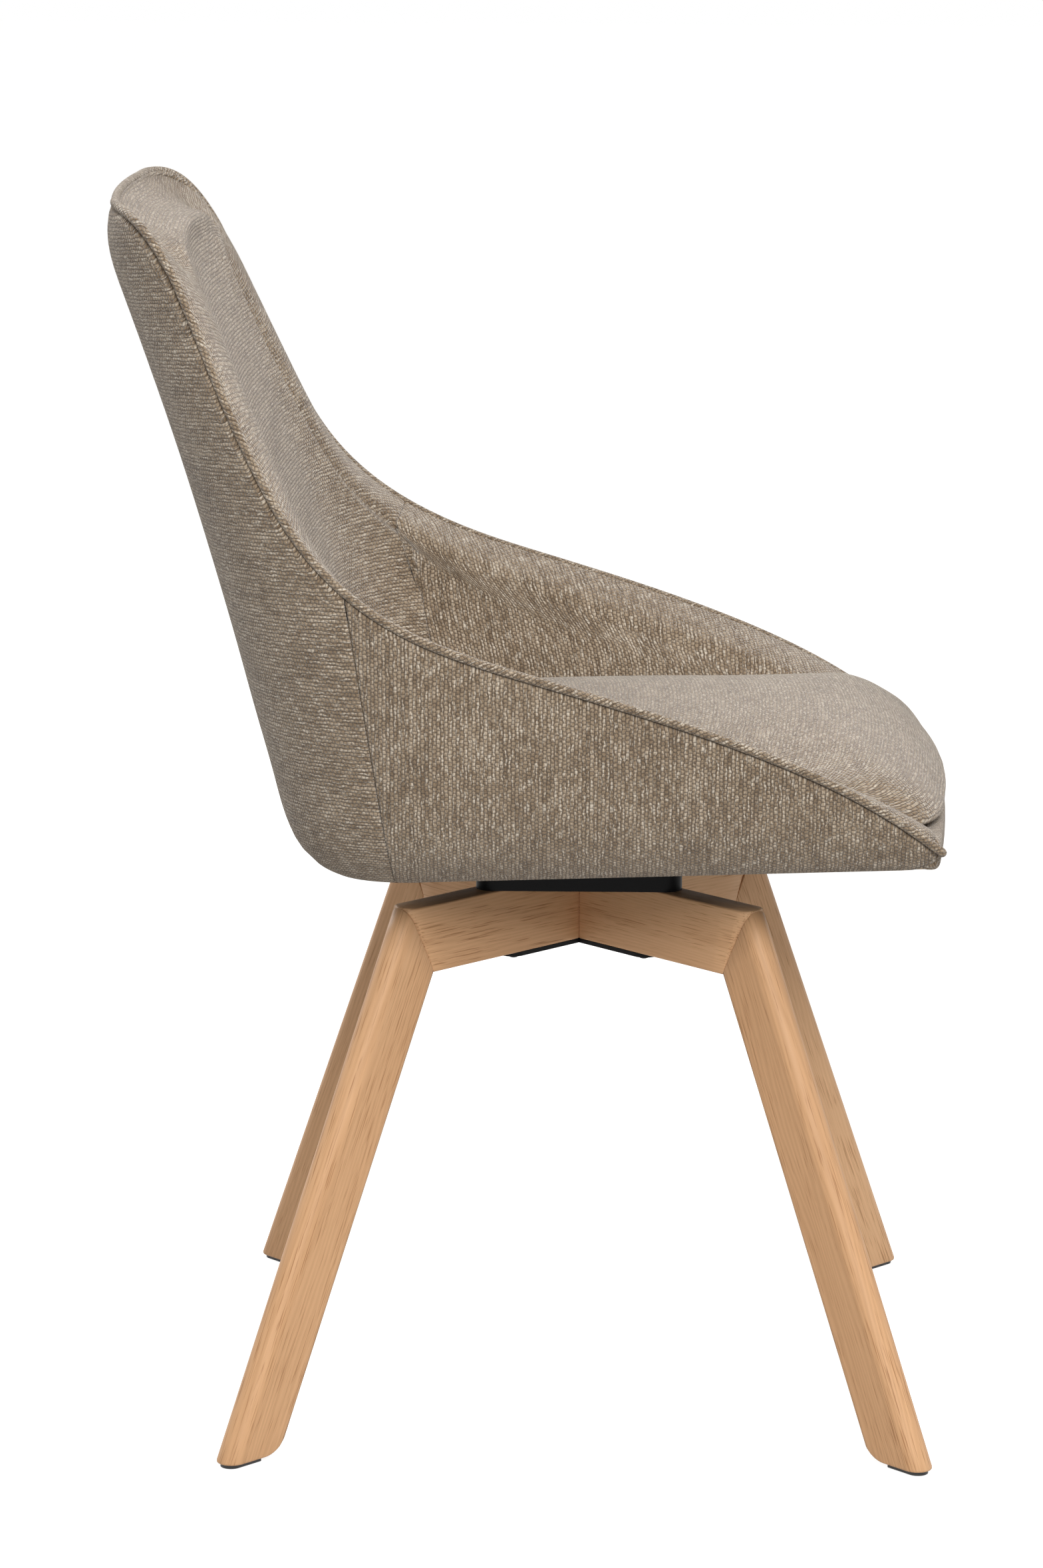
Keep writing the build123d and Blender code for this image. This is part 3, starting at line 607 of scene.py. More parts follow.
# ---------------------------------------------------------------------------------------------------------
# Inner pads: one over the back and one along each arm, moulded foam under the same cloth. Each starts in the
# seam beside the piping, rolls over the shell's edge and runs down inside the bucket to below the cushion.
PAD_RIM = np.array([
    (330, 844), (292, 847), (267.5, 826), (238, 763.5), (204, 685.5), (172.5, 626.5), (119.5, 579),
    (25.5, 542), (-111, 497), (-197, 457.5), (-240, 429), (-262, 409)], float)      # seen from the side
ARM_PADDING = np.array([
    (390, 42), (440, 46), (470, 45), (510, 36), (560, 30), (640, 40), (720, 50), (880, 50)],
    float)                                                          # height and the arm pad's thickness
BACK_PADDING, BOARD_THICKNESS, SHELL_INSET = 52.0, 12.0, 13.0
STEPS = 4                   # points to a span of a pad's section
WALL_ROW = 8 * STEPS        # the row at which a pad has turned over its rim and lies on the wall
PAD_START = 31.0            # the arm pads begin this far along the rim, behind the piping's curl


def pad_sizes(z):
    """The hollow's half width, back and corner radius at a height."""
    half, back, corner = level_sizes(z)
    return half - smooth(z, ARM_PADDING[:, 0], ARM_PADDING[:, 1]), back - BACK_PADDING, corner - BACK_PADDING


def inside(q, z, inset=0.0):
    """The hollow that the pads leave, at place q and height z, made narrower by an inset."""
    return level_point(q, z, *(size - inset for size in pad_sizes(z)))


def spline_rows(controls):
    """A uniform cubic B-spline on a stack of control rows: each span weighs four rows by the cubic basis."""
    t = np.linspace(0, 1, STEPS, endpoint=False)[:, None, None]
    basis = [(1 - t)**3 / 6, (3 * t**3 - 6 * t**2 + 4) / 6, (-3 * t**3 + 3 * t**2 + 3 * t + 1) / 6, t**3 / 6]
    padded = np.concatenate([2 * controls[:1] - controls[1:2], controls, 2 * controls[-1:] - controls[-2:-1]])
    spans = [sum(weight * padded[k + n] for n, weight in enumerate(basis)) for k in range(len(controls) - 1)]
    return np.concatenate(spans + [controls[-1:]])


def pad_cloth(visible, q, from_front):
    """A pad's places on the cloth: the lengths along weft and warp on the wall, and true distances above it.

    Over the crest a column's places go on from WALL_ROW in the direction that it has there, smoothed along
    the rim, by the distance gone on the surface. The rows behind keep the lowest row's places.
    """
    half, back, corner = pad_sizes(visible[..., 2])
    from_middle = ((3 - np.clip(q, 2, 3)) * (half - corner)
                   + (1 - np.clip(q - 1, 0, 1)) * corner * math.pi / 2
                   + (1 - np.clip(q, 0, 1)) * (back - corner - FRONT))
    weft = back - FRONT - from_middle if from_front else -from_middle
    warp = warp_at(q, visible[..., 2])
    heading = np.unwrap(np.arctan2(np.gradient(warp[WALL_ROW]), np.gradient(weft[WALL_ROW])))
    for _ in range(60):
        heading[1:-1] = (heading[:-2] + 2 * heading[1:-1] + heading[2:]) / 4
    over = visible[WALL_ROW::-1]
    gone = np.cumsum(np.linalg.norm(np.diff(over, axis=0, prepend=over[:1]), axis=-1), axis=0)[::-1]
    weft[:WALL_ROW + 1] = weft[WALL_ROW] - np.sin(heading) * gone
    warp[:WALL_ROW + 1] = warp[WALL_ROW] + np.cos(heading) * gone
    return [np.concatenate([field, np.repeat(field[-1:], 9, axis=0)]) for field in (weft, warp)]


def pad(outer_at, inner_at, lift, fall, seam_share, from_front):
    """A closed pad's loops and cloth places: a loop of rows round it, a column at each pair of rim places.

    In a section, m is the height out of the rim's slope and c the share of the way from the outer to the
    inner rim. The loop climbs out of the piping seam, crowns, turns over the inner rim and follows the
    hollow's wall down; it comes back up behind, inside the shell. lift raises the crown, fall rounds its
    inner edge down, and seam_share says how far a column keeps to the seam.
    """
    a, b = read(outer_rim, outer_at, "points"), read(inner_rim, inner_at, "points")
    q_b, z_a, z_b = read(inner_rim, inner_at, "q"), a[:, 2], b[:, 2]
    y = np.linspace(-262, 330, 900)
    slope = np.interp(a[:, 1], y, np.gradient(rim_edge(y), y))
    out = np.stack([0 * slope, -slope, np.ones_like(slope)], -1) / np.hypot(1, slope)[:, None]
    rise = ((b - a) * out).sum(-1)
    across = b - a - rise[:, None] * out
    width = np.linalg.norm(across, axis=-1)

    def at(c, m):
        """The points at share c of the way across and height m."""
        return a + across * c[:, None] + out * m[:, None]

    foot = under_seat(b[:, 1]) + BOARD_THICKNESS + 0.5
    drop = z_b - foot
    fall = np.minimum(fall, 0.14 * drop)
    one, start = np.ones_like(width), 1.5 / width
    rest = 1 - start
    rows = [at(start + 6.0 / width, -9 * one), at(start + 3.2 / width, -2.0 * one),
            at(start + 1.8 / width, 1.7 + 0.2 * lift),
            at(start + rest * 0.22, 0.3 * rise + 1.2 + lift - 0.03 * fall),
            at(start + rest * 0.5, 0.66 * rise + 1.1 + lift - 0.2 * fall),
            at(start + rest * 0.78, rise + 0.8 + 0.6 * lift - 0.55 * fall),
            at(0.97 * one, rise + 0.2 + 0.4 * lift - 0.88 * fall),
            at(1.03 + 0.07 * (fall / 16)**2, rise - 5.0 + 0.3 * lift - 1.35 * fall)]
    tangent = np.gradient(b, axis=0)
    tangent /= np.linalg.norm(tangent, axis=-1, keepdims=True)
    level, climb = np.hypot(tangent[:, 0], tangent[:, 1]), tangent[:, 2] * (1 - seam_share)
    half, back, corner = level_sizes(z_b)
    per_place = np.where(q_b < 1, back - corner - FRONT, (corner - BACK_PADDING) * math.pi / 2)
    seam_z = read(inner_rim, inner_seam_at, "z")

    def wall(z, gone):
        """Place q on the hollow's wall: square to the rim at first, then straight down or along the seam."""
        return (q_b + climb * gone / per_place
                + (inner_seam_q(np.minimum(z, seam_z)) - inner_seam_q(seam_z)) * seam_share)

    levels = []
    for reach, curl, most in ((14, 2.0, 0.34), (26, 1.7, 0.47), (42, 1.3, 0.6)):
        gone = reach + curl * fall
        z = z_b - level * np.minimum(gone, drop * most)
        levels.append((z, wall(z, gone)))
    for part in np.linspace(0, 1, 13)[1:]:
        lower = z - (z - foot) * part
        levels.append((lower, wall(lower, gone)))
    visible = spline_rows(np.array(rows + [inside(q, z) for z, q in levels]))
    q = spline_rows(np.array([q_b] * len(rows) + [q for z, q in levels])[..., None])[..., 0]
    top = np.maximum(np.minimum(z_a, z_b) - 22.0, foot + 4.0)
    hidden = [outside(q_b + (q[-1] - q_b) * (1 - part), foot + (top - foot) * part, SHELL_INSET)
              for part in np.linspace(0, 1, 9)]
    loop = np.concatenate([visible, np.array(hidden)])
    normal = np.cross(np.gradient(loop, axis=0), np.gradient(loop, axis=1))
    normal /= np.maximum(np.linalg.norm(normal, axis=-1, keepdims=True), 1e-9)
    normal *= np.sign((normal * (loop.mean(axis=0, keepdims=True) - loop)).sum(-1, keepdims=True))
    dip = tuck(np.abs(inner_at - inner_seam_at))[None, :, None]
    return loop + normal * dip, *pad_cloth(visible, q, from_front)


def pad_piece(loop, first, second, name):
    """A closed pad from its loops and its two coordinates on the cloth, with a fan cap at each end."""
    points, faces = skin(loop.transpose(1, 0, 2))
    cloth = cloth_at(first.T, second.T)
    count = len(loop)
    caps = [cloth[:count].mean(0), cloth[-count:].mean(0)]
    piece = cloth_piece(name, points, faces, np.vstack([cloth, caps]))
    return piece


inner_rim = trace_rim(inside, edge_height(PAD_RIM))
inner_seam_q = seam_curve(inside, INNER_SEAM)
inner_seam_at = meeting(inner_rim, INNER_SEAM)
outer_pad_seam = meeting(outer_rim, INNER_SEAM)
beside_seam = np.array([0.5, 1.0, 1.6, 2.3, 3.1, 4.0, 6.0])

share = np.unique(np.concatenate([np.linspace(0, 1, 72), [0.002, 0.005, 0.009], 1 - beside_seam / 430]))
outer_at = PAD_START + (outer_pad_seam - PAD_START) * share
inner_at = PAD_START - 4.0 + (inner_seam_at - PAD_START + 4.0) * share
lift = 7.0 * np.clip(1 - share * 2.2, 0, 1)**1.5 - 0.6
fall = 16.0 * np.clip(share * 4, 0, 1) * (1 - 0.5 * share**2)
loop, weft, warp = pad(outer_at, inner_at, lift, fall, share**2, True)
size = np.sqrt(1 - (1 - np.clip((outer_at - PAD_START) / 20.0, 0, 1))**2)
centre = loop.mean(axis=0, keepdims=True)
loop = centre + (loop - centre) * (0.3 + 0.7 * size)[None, :, None]
for side, name in ((1, "left"), (-1, "right")):
    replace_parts(pad_piece(loop * [side, 1, 1], weft, warp, f"inner_arm_{name}"), f"inner_arm_pad_{name}")

share = np.unique(np.concatenate([np.linspace(0, 1, 80), beside_seam / 420]))
outer_at = outer_pad_seam + (middle_at - outer_pad_seam) * share
inner_at = inner_seam_at + (inner_rim["along"][-1] - inner_seam_at) * share
steep = np.clip((843 - read(outer_rim, outer_at, "z")) / 14.0, 0, 1)
lift = -0.6 + 1.8 * np.clip(share * 5, 0, 1) * steep - 7.0 * (1 - steep)
fall = 8.0 - 2.0 * np.clip(share * 5, 0, 1) - 3.0 * (1 - steep)
loop, weft, warp = pad(outer_at, inner_at, lift, fall, (1 - share)**2, False)
piece = pad_piece(doubled(loop, MIRROR), doubled(warp), doubled(weft, -1), "inner_back")
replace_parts(piece, "inner_back_pad")

# ---------------------------------------------------------------------------------------------------------
# Piping: a cotton cord wrapped in a bias strip of the cloth, sewn into the seam all round the rim. It stands
# proud of the covers, curls in round each front corner and ends behind the front band.
CURL = np.array([(197, -233, 427), (204, -238, 427), (210, -241.5, 427.5), (216, -243.2, 428.5),
                 (220.5, -242.6, 430)], float)
PIPING_START = 36.0         # where along the rim the curl ends and the piping follows the seam
PIPING_SUNK = 1.4           # how far its centre lies inside the covers' surface
AROUND = 18


def tube(path, radius, around):
    """Loops round a path: circles in the plane square to it, begun square to one fixed direction."""
    tangent = np.gradient(path, axis=0)
    tangent /= np.linalg.norm(tangent, axis=-1, keepdims=True)
    side = np.cross(tangent, [0.0, 0.6, -0.8])
    side /= np.linalg.norm(side, axis=-1, keepdims=True)
    other = np.cross(tangent, side)
    angle = np.linspace(0, 2 * math.pi, around, endpoint=False)[None, :, None]
    return path[:, None] + radius * (side[:, None] * np.cos(angle) + other[:, None] * np.sin(angle))


rim_at = np.linspace(PIPING_START, middle_at, 300)
line = read(outer_rim, rim_at, "points")
inwards = outside(read(outer_rim, rim_at, "q"), line[:, 2], 1.0) - line
line = line + PIPING_SUNK * inwards / np.linalg.norm(inwards, axis=-1, keepdims=True)
line = doubled(np.concatenate([CURL, line])[None], MIRROR)[0]
run = run_along(line)
even = np.linspace(0, run[-1], 1300)
line = read_at(even, run, line)
for _ in range(12):
    line[1:-1] = (line[:-2] + 2 * line[1:-1] + line[2:]) / 4
points, faces = skin(tube(line, PIPING, AROUND))
girth = (np.arange(AROUND) / AROUND * 2 * math.pi * PIPING)[None]
bias = cloth_at((even[:, None] + girth) * 0.7071, (even[:, None] - girth) * 0.7071)     # cut at 45 degrees
piece = cloth_piece("piping", points, faces, np.vstack([bias, bias[0], bias[-1]]))
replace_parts(piece, "rim_piping")

# ---------------------------------------------------------------------------------------------------------
# Seat cushion: a crowned foam block with a full rounded nose, its cover drawn down between the arm pads and
# under the back pad. The nose stands over the front band.
NOSE = np.array([(0, -257.5), (60, -255.6), (118, -251), (152, -247), (172, -241.5), (186, -233),
                 (194, -222)], float)                               # x and y of the front seam
CHEEK = np.array([(194, -222), (199.5, -207), (202, -192), (200, -168), (194.5, -138), (191.5, -100),
                  (192, 0), (189, 60), (176, 110), (150, 150)], float)          # x and y of the side seam
CROWN = np.array([(-262, 492), (-150, 491), (-60, 490), (60, 485), (190, 478)], float)  # y and top height
ROLL = np.array([(0, 0.0), (1.4, 0.08), (5, 0.175), (13, 0.315), (30, 0.53), (57, 0.78), (90, 0.945),
                 (125, 1.0)], float)                        # distance behind the nose, share of the rise
TUCKED = ((0.6, 442.2), (1.8, 440.9), (4.0, 439.8), (8.0, 439.2), (14.0, 438.9), (21.0, 437.0),
          (24.0, 432.0))                                    # the side below the seam: inset and height
CUSHION_SEAM, CUSHION_FOOT, SWELL, CUSHION_REAR = 443.5, 13.0, 3.0, 150.0
ROLL_END, ROLL_RISE, BLEND = 120.0, 47.0, 0.035
CHEEK_ROUND, CHEEK_CROWN = 13.0, 190.0                      # widths of the cheeks' rounding and of their rise


def along_curve(curve, shares):
    """Points on a smooth curve through the given ones, at shares of its length."""
    run = run_along(curve)
    return np.stack([smooth(np.asarray(shares) * run[-1], run, curve[:, k]) for k in range(2)], -1)


def four_sided(front, rear, left, right):
    """A grid between four border lines: the surface ruled front to rear, plus the one ruled left to right,
    less the bilinear patch of the four corners. Its columns lie at u_share and its rows at v_share."""
    u, v = u_share[None, :, None], v_share[:, None, None]
    return ((1 - v) * front[None] + v * rear[None] + (1 - u) * left[:, None] + u * right[:, None]
            - (1 - u) * (1 - v) * front[0] - u * (1 - v) * front[-1]
            - (1 - u) * v * rear[0] - u * v * rear[-1])


def square_gap(at, edge_at, edge, gap):
    """The distance from a border line measured square to it: the gap along one axis over hypot(1, slope)."""
    slope = np.interp(at, edge_at, np.gradient(edge, edge_at))
    return np.maximum(gap(np.interp(at, edge_at, edge)), 0) / np.hypot(1, slope)


def cushion_height(x, y):
    """The cushion's top: seam height plus the crown's rise, times the lesser of the nose's and cheeks' rolls.

    The lesser is a smooth one, -k log(exp(-a / k) + exp(-b / k)), so that the rolls meet without a ridge.
    """
    x = np.abs(x)
    behind = square_gap(x, *front_half.T, lambda edge: y - edge)
    within = square_gap(y, *cheek_line.T[::-1], lambda edge: edge - x)
    nose = np.interp(behind, roll_at, roll_height)
    round_over = np.sqrt(np.maximum(1 - (1 - np.clip(within / CHEEK_ROUND, 0, 1))**2, 0))
    sides = 0.44 * round_over + 0.56 * (1 - (1 - np.clip(within / CHEEK_CROWN, 0, 1))**2)
    low = -BLEND * np.log(np.exp(-nose / BLEND) + np.exp(-sides * 1.02 / BLEND))
    rise = np.clip((low + BLEND * math.log(2.0)) / (1 + BLEND * math.log(2.0)), 0, 1)
    return CUSHION_SEAM + (smooth(y, CROWN[:, 0], CROWN[:, 1]) - SWELL - CUSHION_SEAM) * rise


def puff(piece, free, pressure=4.0, cap=0.0035, frames=20):
    """Swells a closed piece from within with Blender's Cloth, no point by more than cap times its freedom.

    The cloth's result is read once, each point's move is cut to the cap, and the modifier is taken off again.
    """
    cloth = piece.modifiers.new("puff", "CLOTH")
    settings = cloth.settings
    settings.use_pressure = True
    settings.uniform_pressure_force = pressure
    settings.effector_weights.gravity = 0.0
    settings.mass = 0.3
    settings.tension_stiffness = settings.compression_stiffness = 25.0
    settings.bending_stiffness = 1.0
    cloth.point_cache.frame_end = frames
    scene = bpy.context.scene
    for number in range(1, frames + 1):
        scene.frame_set(number)
    shape = piece.evaluated_get(bpy.context.evaluated_depsgraph_get()).data
    moved, start = np.empty(len(piece.data.vertices) * 3), np.empty(len(piece.data.vertices) * 3)
    shape.vertices.foreach_get("co", moved)
    piece.data.vertices.foreach_get("co", start)
    step = (moved - start).reshape(-1, 3)
    size = np.linalg.norm(step, axis=1, keepdims=True)
    step = step * np.minimum(1, cap * free[:, None] / np.maximum(size, 1e-9))
    piece.modifiers.remove(cloth)
    scene.frame_set(1)
    piece.data.vertices.foreach_set("co", start + step.ravel())
    piece.data.update()


roll_at = np.linspace(0, ROLL_END, 400)
roll_height = np.interp(roll_at, ROLL[:, 0], ROLL[:, 1])
for _ in range(60):
    roll_height[2:-1] = (roll_height[1:-2] + roll_height[2:-1] + roll_height[3:]) / 3
front_half, cheek_line = (along_curve(curve, np.linspace(0, 1, 400)) for curve in (NOSE, CHEEK))
across = np.linspace(-1, 1, 77)
across = across + 0.24 * np.sin(math.pi * across) / math.pi
u_share, v_share = (across + 1) / 2, np.linspace(0, 1, 81)**1.45
front = along_curve(NOSE, np.abs(across)) * np.stack([np.sign(across), 0 * across + 1], -1)
right = along_curve(CHEEK, v_share)
rear = np.stack([across * CUSHION_REAR, CUSHION_REAR + 38.0 * (1 - across**2)], -1)
plan = four_sided(front, rear, right * [-1, 1], right)
top = np.concatenate([plan, cushion_height(plan[..., 0], plan[..., 1])[..., None]], -1)
rows, columns = top.shape[:2]
index = np.arange(rows * columns).reshape(rows, columns)
ring = np.concatenate([index[0, :-1], index[:-1, -1], index[-1, :0:-1], index[:0:-1, 0]])
edge = top.reshape(-1, 3)[ring]
ahead = np.roll(edge, -1, axis=0) - np.roll(edge, 1, axis=0)
inwards = np.stack([-ahead[:, 1], ahead[:, 0]], -1)
inwards /= np.linalg.norm(inwards, axis=-1, keepdims=True)
foot = under_seat(edge[:, 1]) + CUSHION_FOOT
lower = np.array([np.c_[edge[:, :2] + inwards * inset, height + 0 * foot]
                  for inset, height in (*TUCKED, (25.0, foot + 3.0), (28.0, foot))])
narrow = inside(np.clip((lower[..., 1] - FRONT) / 350.0, 0, 1), lower[..., 2], 1.0)[..., 0]
narrow = np.where(lower[..., 2] < 439.0, narrow, 400.0)         # below the seam the sides stay off the pads
lower[..., 0] = np.clip(lower[..., 0], -narrow, narrow)
border = np.zeros((rows * columns, 2))
border[ring] = lower[-1, :, :2]
border = border.reshape(rows, columns, 2)
base = four_sided(border[0], border[-1], border[:, 0], border[:, -1])[1:-1, 1:-1].reshape(-1, 2)
base = np.c_[base, under_seat(base[:, 1]) + CUSHION_FOOT]
chain = np.vstack([ring[None], rows * columns + np.arange(lower[..., 0].size).reshape(len(lower), -1)])
base_index = np.zeros(rows * columns, int)
base_index[ring] = chain[-1]
base_index = base_index.reshape(rows, columns)
base_index[1:-1, 1:-1] = chain[-1, -1] + 1 + np.arange(len(base)).reshape(rows - 2, columns - 2)
quads = grid_faces(rows, columns)
faces = np.vstack([quads, base_index.ravel()[quads][:, ::-1], ring_faces(chain)[:, [0, 3, 2, 1]]])
points = np.vstack([top.reshape(-1, 3), lower.reshape(-1, 3), base])
over = run_along(np.stack([roll_at, roll_height * ROLL_RISE], -1))
behind = points[:, 1] - np.interp(np.abs(points[:, 0]), front_half[:, 0], front_half[:, 1])
run = np.where(behind > ROLL_END, behind - ROLL_END + over[-1], np.interp(behind, roll_at, over))
run = np.where(points[:, 2] < CUSHION_SEAM - 0.6, points[:, 2] - CUSHION_SEAM, run)
piece = cloth_piece("cushion", points, outward(points, faces), cloth_at(run, points[:, 0] + 900.0))
puff(piece, np.clip((points[:, 2] - 441.0) / 12.0, 0, 1))
finer = piece.modifiers.new("finer", "SUBSURF")
finer.levels = finer.render_levels = 1
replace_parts(piece, "seat_cushion")

# ---------------------------------------------------------------------------------------------------------
# Front band: a narrow padded rail along the seat's front edge, wrapped in the same cloth, with rounded ends.
BAND_HALF, BAND_HIGH, BAND_DEEP, BAND_BOW, BAND_END = 209.0, 22.5, 15.0, 14.0, 7.0
BAND_FRONT, BAND_DROP, BOXY = -256.0, 0.7, 0.62
span = BAND_HALF * np.sin(np.linspace(-math.pi / 2, math.pi / 2, 121))
y_front = BAND_FRONT + BAND_BOW * (np.abs(span) / BAND_HALF)**1.7
end = np.clip(np.abs(span) - (BAND_HALF - BAND_END), 0, BAND_END) / BAND_END
end = np.sqrt(np.clip(1 - end**2, 0.02, 1))
angle = np.linspace(-math.pi, math.pi, 1601)
oval = np.stack([np.sign(part) * np.abs(part)**BOXY for part in (np.cos(angle), np.sin(angle))], -1)
half_size = np.array([BAND_DEEP / 2, BAND_HIGH / 2])
oval_run = run_along(oval * half_size)
oval = read_at(np.arange(40) / 40 * oval_run[-1], oval_run, oval)
deep, high = 0.35 + 0.65 * end, 0.3 + 0.7 * end
loops = np.stack([np.broadcast_to(span[:, None], (121, 40)),
                  (y_front + half_size[0])[:, None] - (half_size[0] * deep)[:, None] * oval[:, 0],
                  (under_seat(y_front) - BAND_DROP + half_size[1])[:, None]
                  + (half_size[1] * high)[:, None] * oval[:, 1]], -1)
points, faces = skin(loops)
cloth = cloth_at(loops[..., 0] + 300.0, np.broadcast_to(-run_along(oval * half_size), (121, 40)))
piece = cloth_piece("front_band_cover", points, faces, np.vstack([cloth, cloth[0], cloth[-1]]))
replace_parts(piece, "front_band")

# ---------------------------------------------------------------------------------------------------------
# Dust cover: black non-woven cloth drawn tight under the seat and stapled to the board all round, with a
# square opening for the swivel's plate.
PLATE_HOLE, HOLE_CORNER, EDGE_COUNT, DUST_ROWS = 154.0, 14.0, 240, 16
DUST_INSET, DUST_REAR, DUST_BOW, DUST_DROP, PUCKER = 13.5, 165.5, 9.0, 1.6, 0.45


def lining_material():
    """Spun lining: black, matt, with faint random fibres and a small pressed dot pattern."""
    material, add, math_of = new_material("spun_lining")
    place = add("TexCoord").outputs["Object"]
    fibre = noise(add, place, 900.0, 3.0, 0.8)
    dots = add("TexVoronoi", {"Vector": place, "Scale": 620.0, "Randomness": 0.15}).outputs["Distance"]
    colour = ramp(add, fibre, [(0.3, (0.012, 0.012, 0.013)), (0.7, (0.045, 0.045, 0.047))])
    surface(add, {"Base Color": colour, "Roughness": 0.85, "Specular IOR Level": 0.2},
            math_of("MULTIPLY_ADD", fibre, 0.4, dots), 0.4, 0.0003)
    return material


def signed_area(loop):
    """The area inside a flat loop, half the sum of x y' - y x', negative where it runs clockwise."""
    x, y = loop.T
    return (x * np.roll(y, -1) - y * np.roll(x, -1)).sum() / 2


q_edge = np.concatenate([np.linspace(0.07, 1, 40), np.linspace(1, 2, 40)[1:], np.linspace(2, 3, 20)[1:]])
edge = outside(q_edge, np.full(len(q_edge), SEAT_UNDER), DUST_INSET)[:, :2]
edge[:, 1] = np.minimum(edge[:, 1], DUST_REAR)
edge = doubled(edge[None], [-1, 1])[0]
across = np.linspace(edge[-1, 0], edge[0, 0], 60)[1:-1]
bowed = edge[0, 1] - DUST_BOW * (1 - np.abs(across / edge[0, 0])**1.7)
edge = even_loop(np.concatenate([edge, np.stack([across, bowed], -1)]), EDGE_COUNT)
hole = even_loop(rounded_box(PLATE_HOLE / 2, -PLATE_HOLE / 2, PLATE_HOLE / 2, HOLE_CORNER, 8), EDGE_COUNT)
first = np.argmin(np.abs(np.arctan2(edge[:, 1], edge[:, 0]) - math.atan2(hole[0, 1], hole[0, 0])))
edge = np.roll(edge, -first, axis=0)
if signed_area(edge) * signed_area(hole) < 0:
    edge = np.roll(edge[::-1], 1, axis=0)
part = np.linspace(0, 1, DUST_ROWS)[:, None, None]
plan = hole * (1 - part) + edge * part
turn = np.linspace(0, 2 * math.pi, EDGE_COUNT, endpoint=False)
pucker = PUCKER * np.sin(part[..., 0] * math.pi) * (1 + np.sin(turn * 30)) / 2
points = np.concatenate([plan, (under_seat(plan[..., 1]) - DUST_DROP - pucker)[..., None]], -1).reshape(-1, 3)
faces = ring_faces(np.arange(DUST_ROWS * EDGE_COUNT).reshape(DUST_ROWS, EDGE_COUNT))
a, b, c = points[faces[0, :3]]
if np.cross(b - a, c - a)[2] > 0:
    faces = faces[:, ::-1]
piece = mesh_piece("dust_cover_cloth", points, faces, "seat", lining_material())
thicken(piece, 0.0006)
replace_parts(piece, "dust_cover")

# ---------------------------------------------------------------------------------------------------------
# Fittings kept from the frame, each with its own finish: black powder coat on the bracket, bolts, tray and
# top plate, bright zinc on the races, pin, nuts and screws, chrome on the balls, and nylon glides, raw beech
# dowels and plywood.


def metal_material(name, colour, metallic, rough, grain, dirt, specular=0.5):
    """A metal finish: a fine grain for its bump, and a broad noise that varies its roughness and its tone."""
    material, add, math_of = new_material(name)
    place = add("TexCoord").outputs["Object"]
    broad = noise(add, place, 45.0, 3.0)
    tint = ramp(add, broad, [(0.35, tuple(c * (1 - dirt) for c in colour)), (0.65, colour)])
    surface(add, {"Base Color": tint, "Metallic": metallic, "Specular IOR Level": specular,
                  "Roughness": math_of("MULTIPLY_ADD", broad, 0.16, rough)},
            noise(add, place, grain, 3.0, 0.65), 0.25, 0.0002)
    return material


def layered_wood(name, pale, dark, layers, grain):
    """Raw wood: fine fibres, and where it is plywood, thin layers across Z in alternating tones."""
    material, add, math_of = new_material(name)
    place = add("TexCoord").outputs["Object"]
    fibre = noise(add, stretched(add, place, grain), 1.0, 4.0, 0.65)
    band = math_of("SINE", math_of("MULTIPLY", add("SeparateXYZ", {0: place}).outputs[2], layers))
    tone = math_of("MULTIPLY_ADD", band, 0.14 if layers else 0.0, fibre)
    colour = ramp(add, tone, [(0.3, dark), (0.7, pale)])
    surface(add, {"Base Color": colour, "Roughness": 0.75, "Specular IOR Level": 0.3}, fibre, 0.3, 0.0003)
    return material


def nylon_material():
    """Moulded nylon: near black, satin, with a light spark-eroded texture and scuffs that dull it."""
    material, add, math_of = new_material("black_nylon")
    place = add("TexCoord").outputs["Object"]
    scuff = noise(add, stretched(add, place, (60.0, 60.0, 400.0)), 1.0, 4.0)
    colour = ramp(add, scuff, [(0.4, (0.013, 0.013, 0.014)), (0.7, (0.035, 0.034, 0.033))])
    surface(add, {"Base Color": colour, "Roughness": math_of("MULTIPLY_ADD", scuff, 0.3, 0.35)},
            noise(add, place, 1600.0, 2.0), 0.3, 0.0002)
    return material


FINISHES = (
    (metal_material("black_powder_coat", (0.007, 0.007, 0.0075), 0.0, 0.4, 2200.0, 0.3, 0.1),
     "lower_bracket frame_bolts swivel_tray swivel_top_plate"),
    (metal_material("bright_zinc", (0.62, 0.63, 0.65), 1.0, 0.24, 900.0, 0.2),
     "frame_nuts lower_race upper_race pivot_pin pivot_washer pivot_nut seat_bolts tee_nuts shell_screws "
     "glide_nails"),
    (metal_material("ball_chrome", (0.75, 0.75, 0.76), 1.0, 0.04, 300.0, 0.05), "bearing_balls"),
    (metal_material("pressed_cage", (0.55, 0.54, 0.5), 1.0, 0.3, 700.0, 0.2), "ball_cage"),
    (nylon_material(), " ".join(f"glide_{corner}" for corner in ANGLES)),
    (layered_wood("raw_beech", (0.66, 0.5, 0.34), (0.52, 0.37, 0.23), 0.0, (400.0, 400.0, 30.0)),
     "corner_dowels cross_dowels"),
    (layered_wood("birch_plywood", (0.63, 0.49, 0.33), (0.42, 0.3, 0.19), 4200.0, (300.0, 25.0, 300.0)),
     "seat_board back_shell side_shell_left side_shell_right"))
for finish, names in FINISHES:
    for name in names.split():
        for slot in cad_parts[name].material_slots:
            slot.material = finish

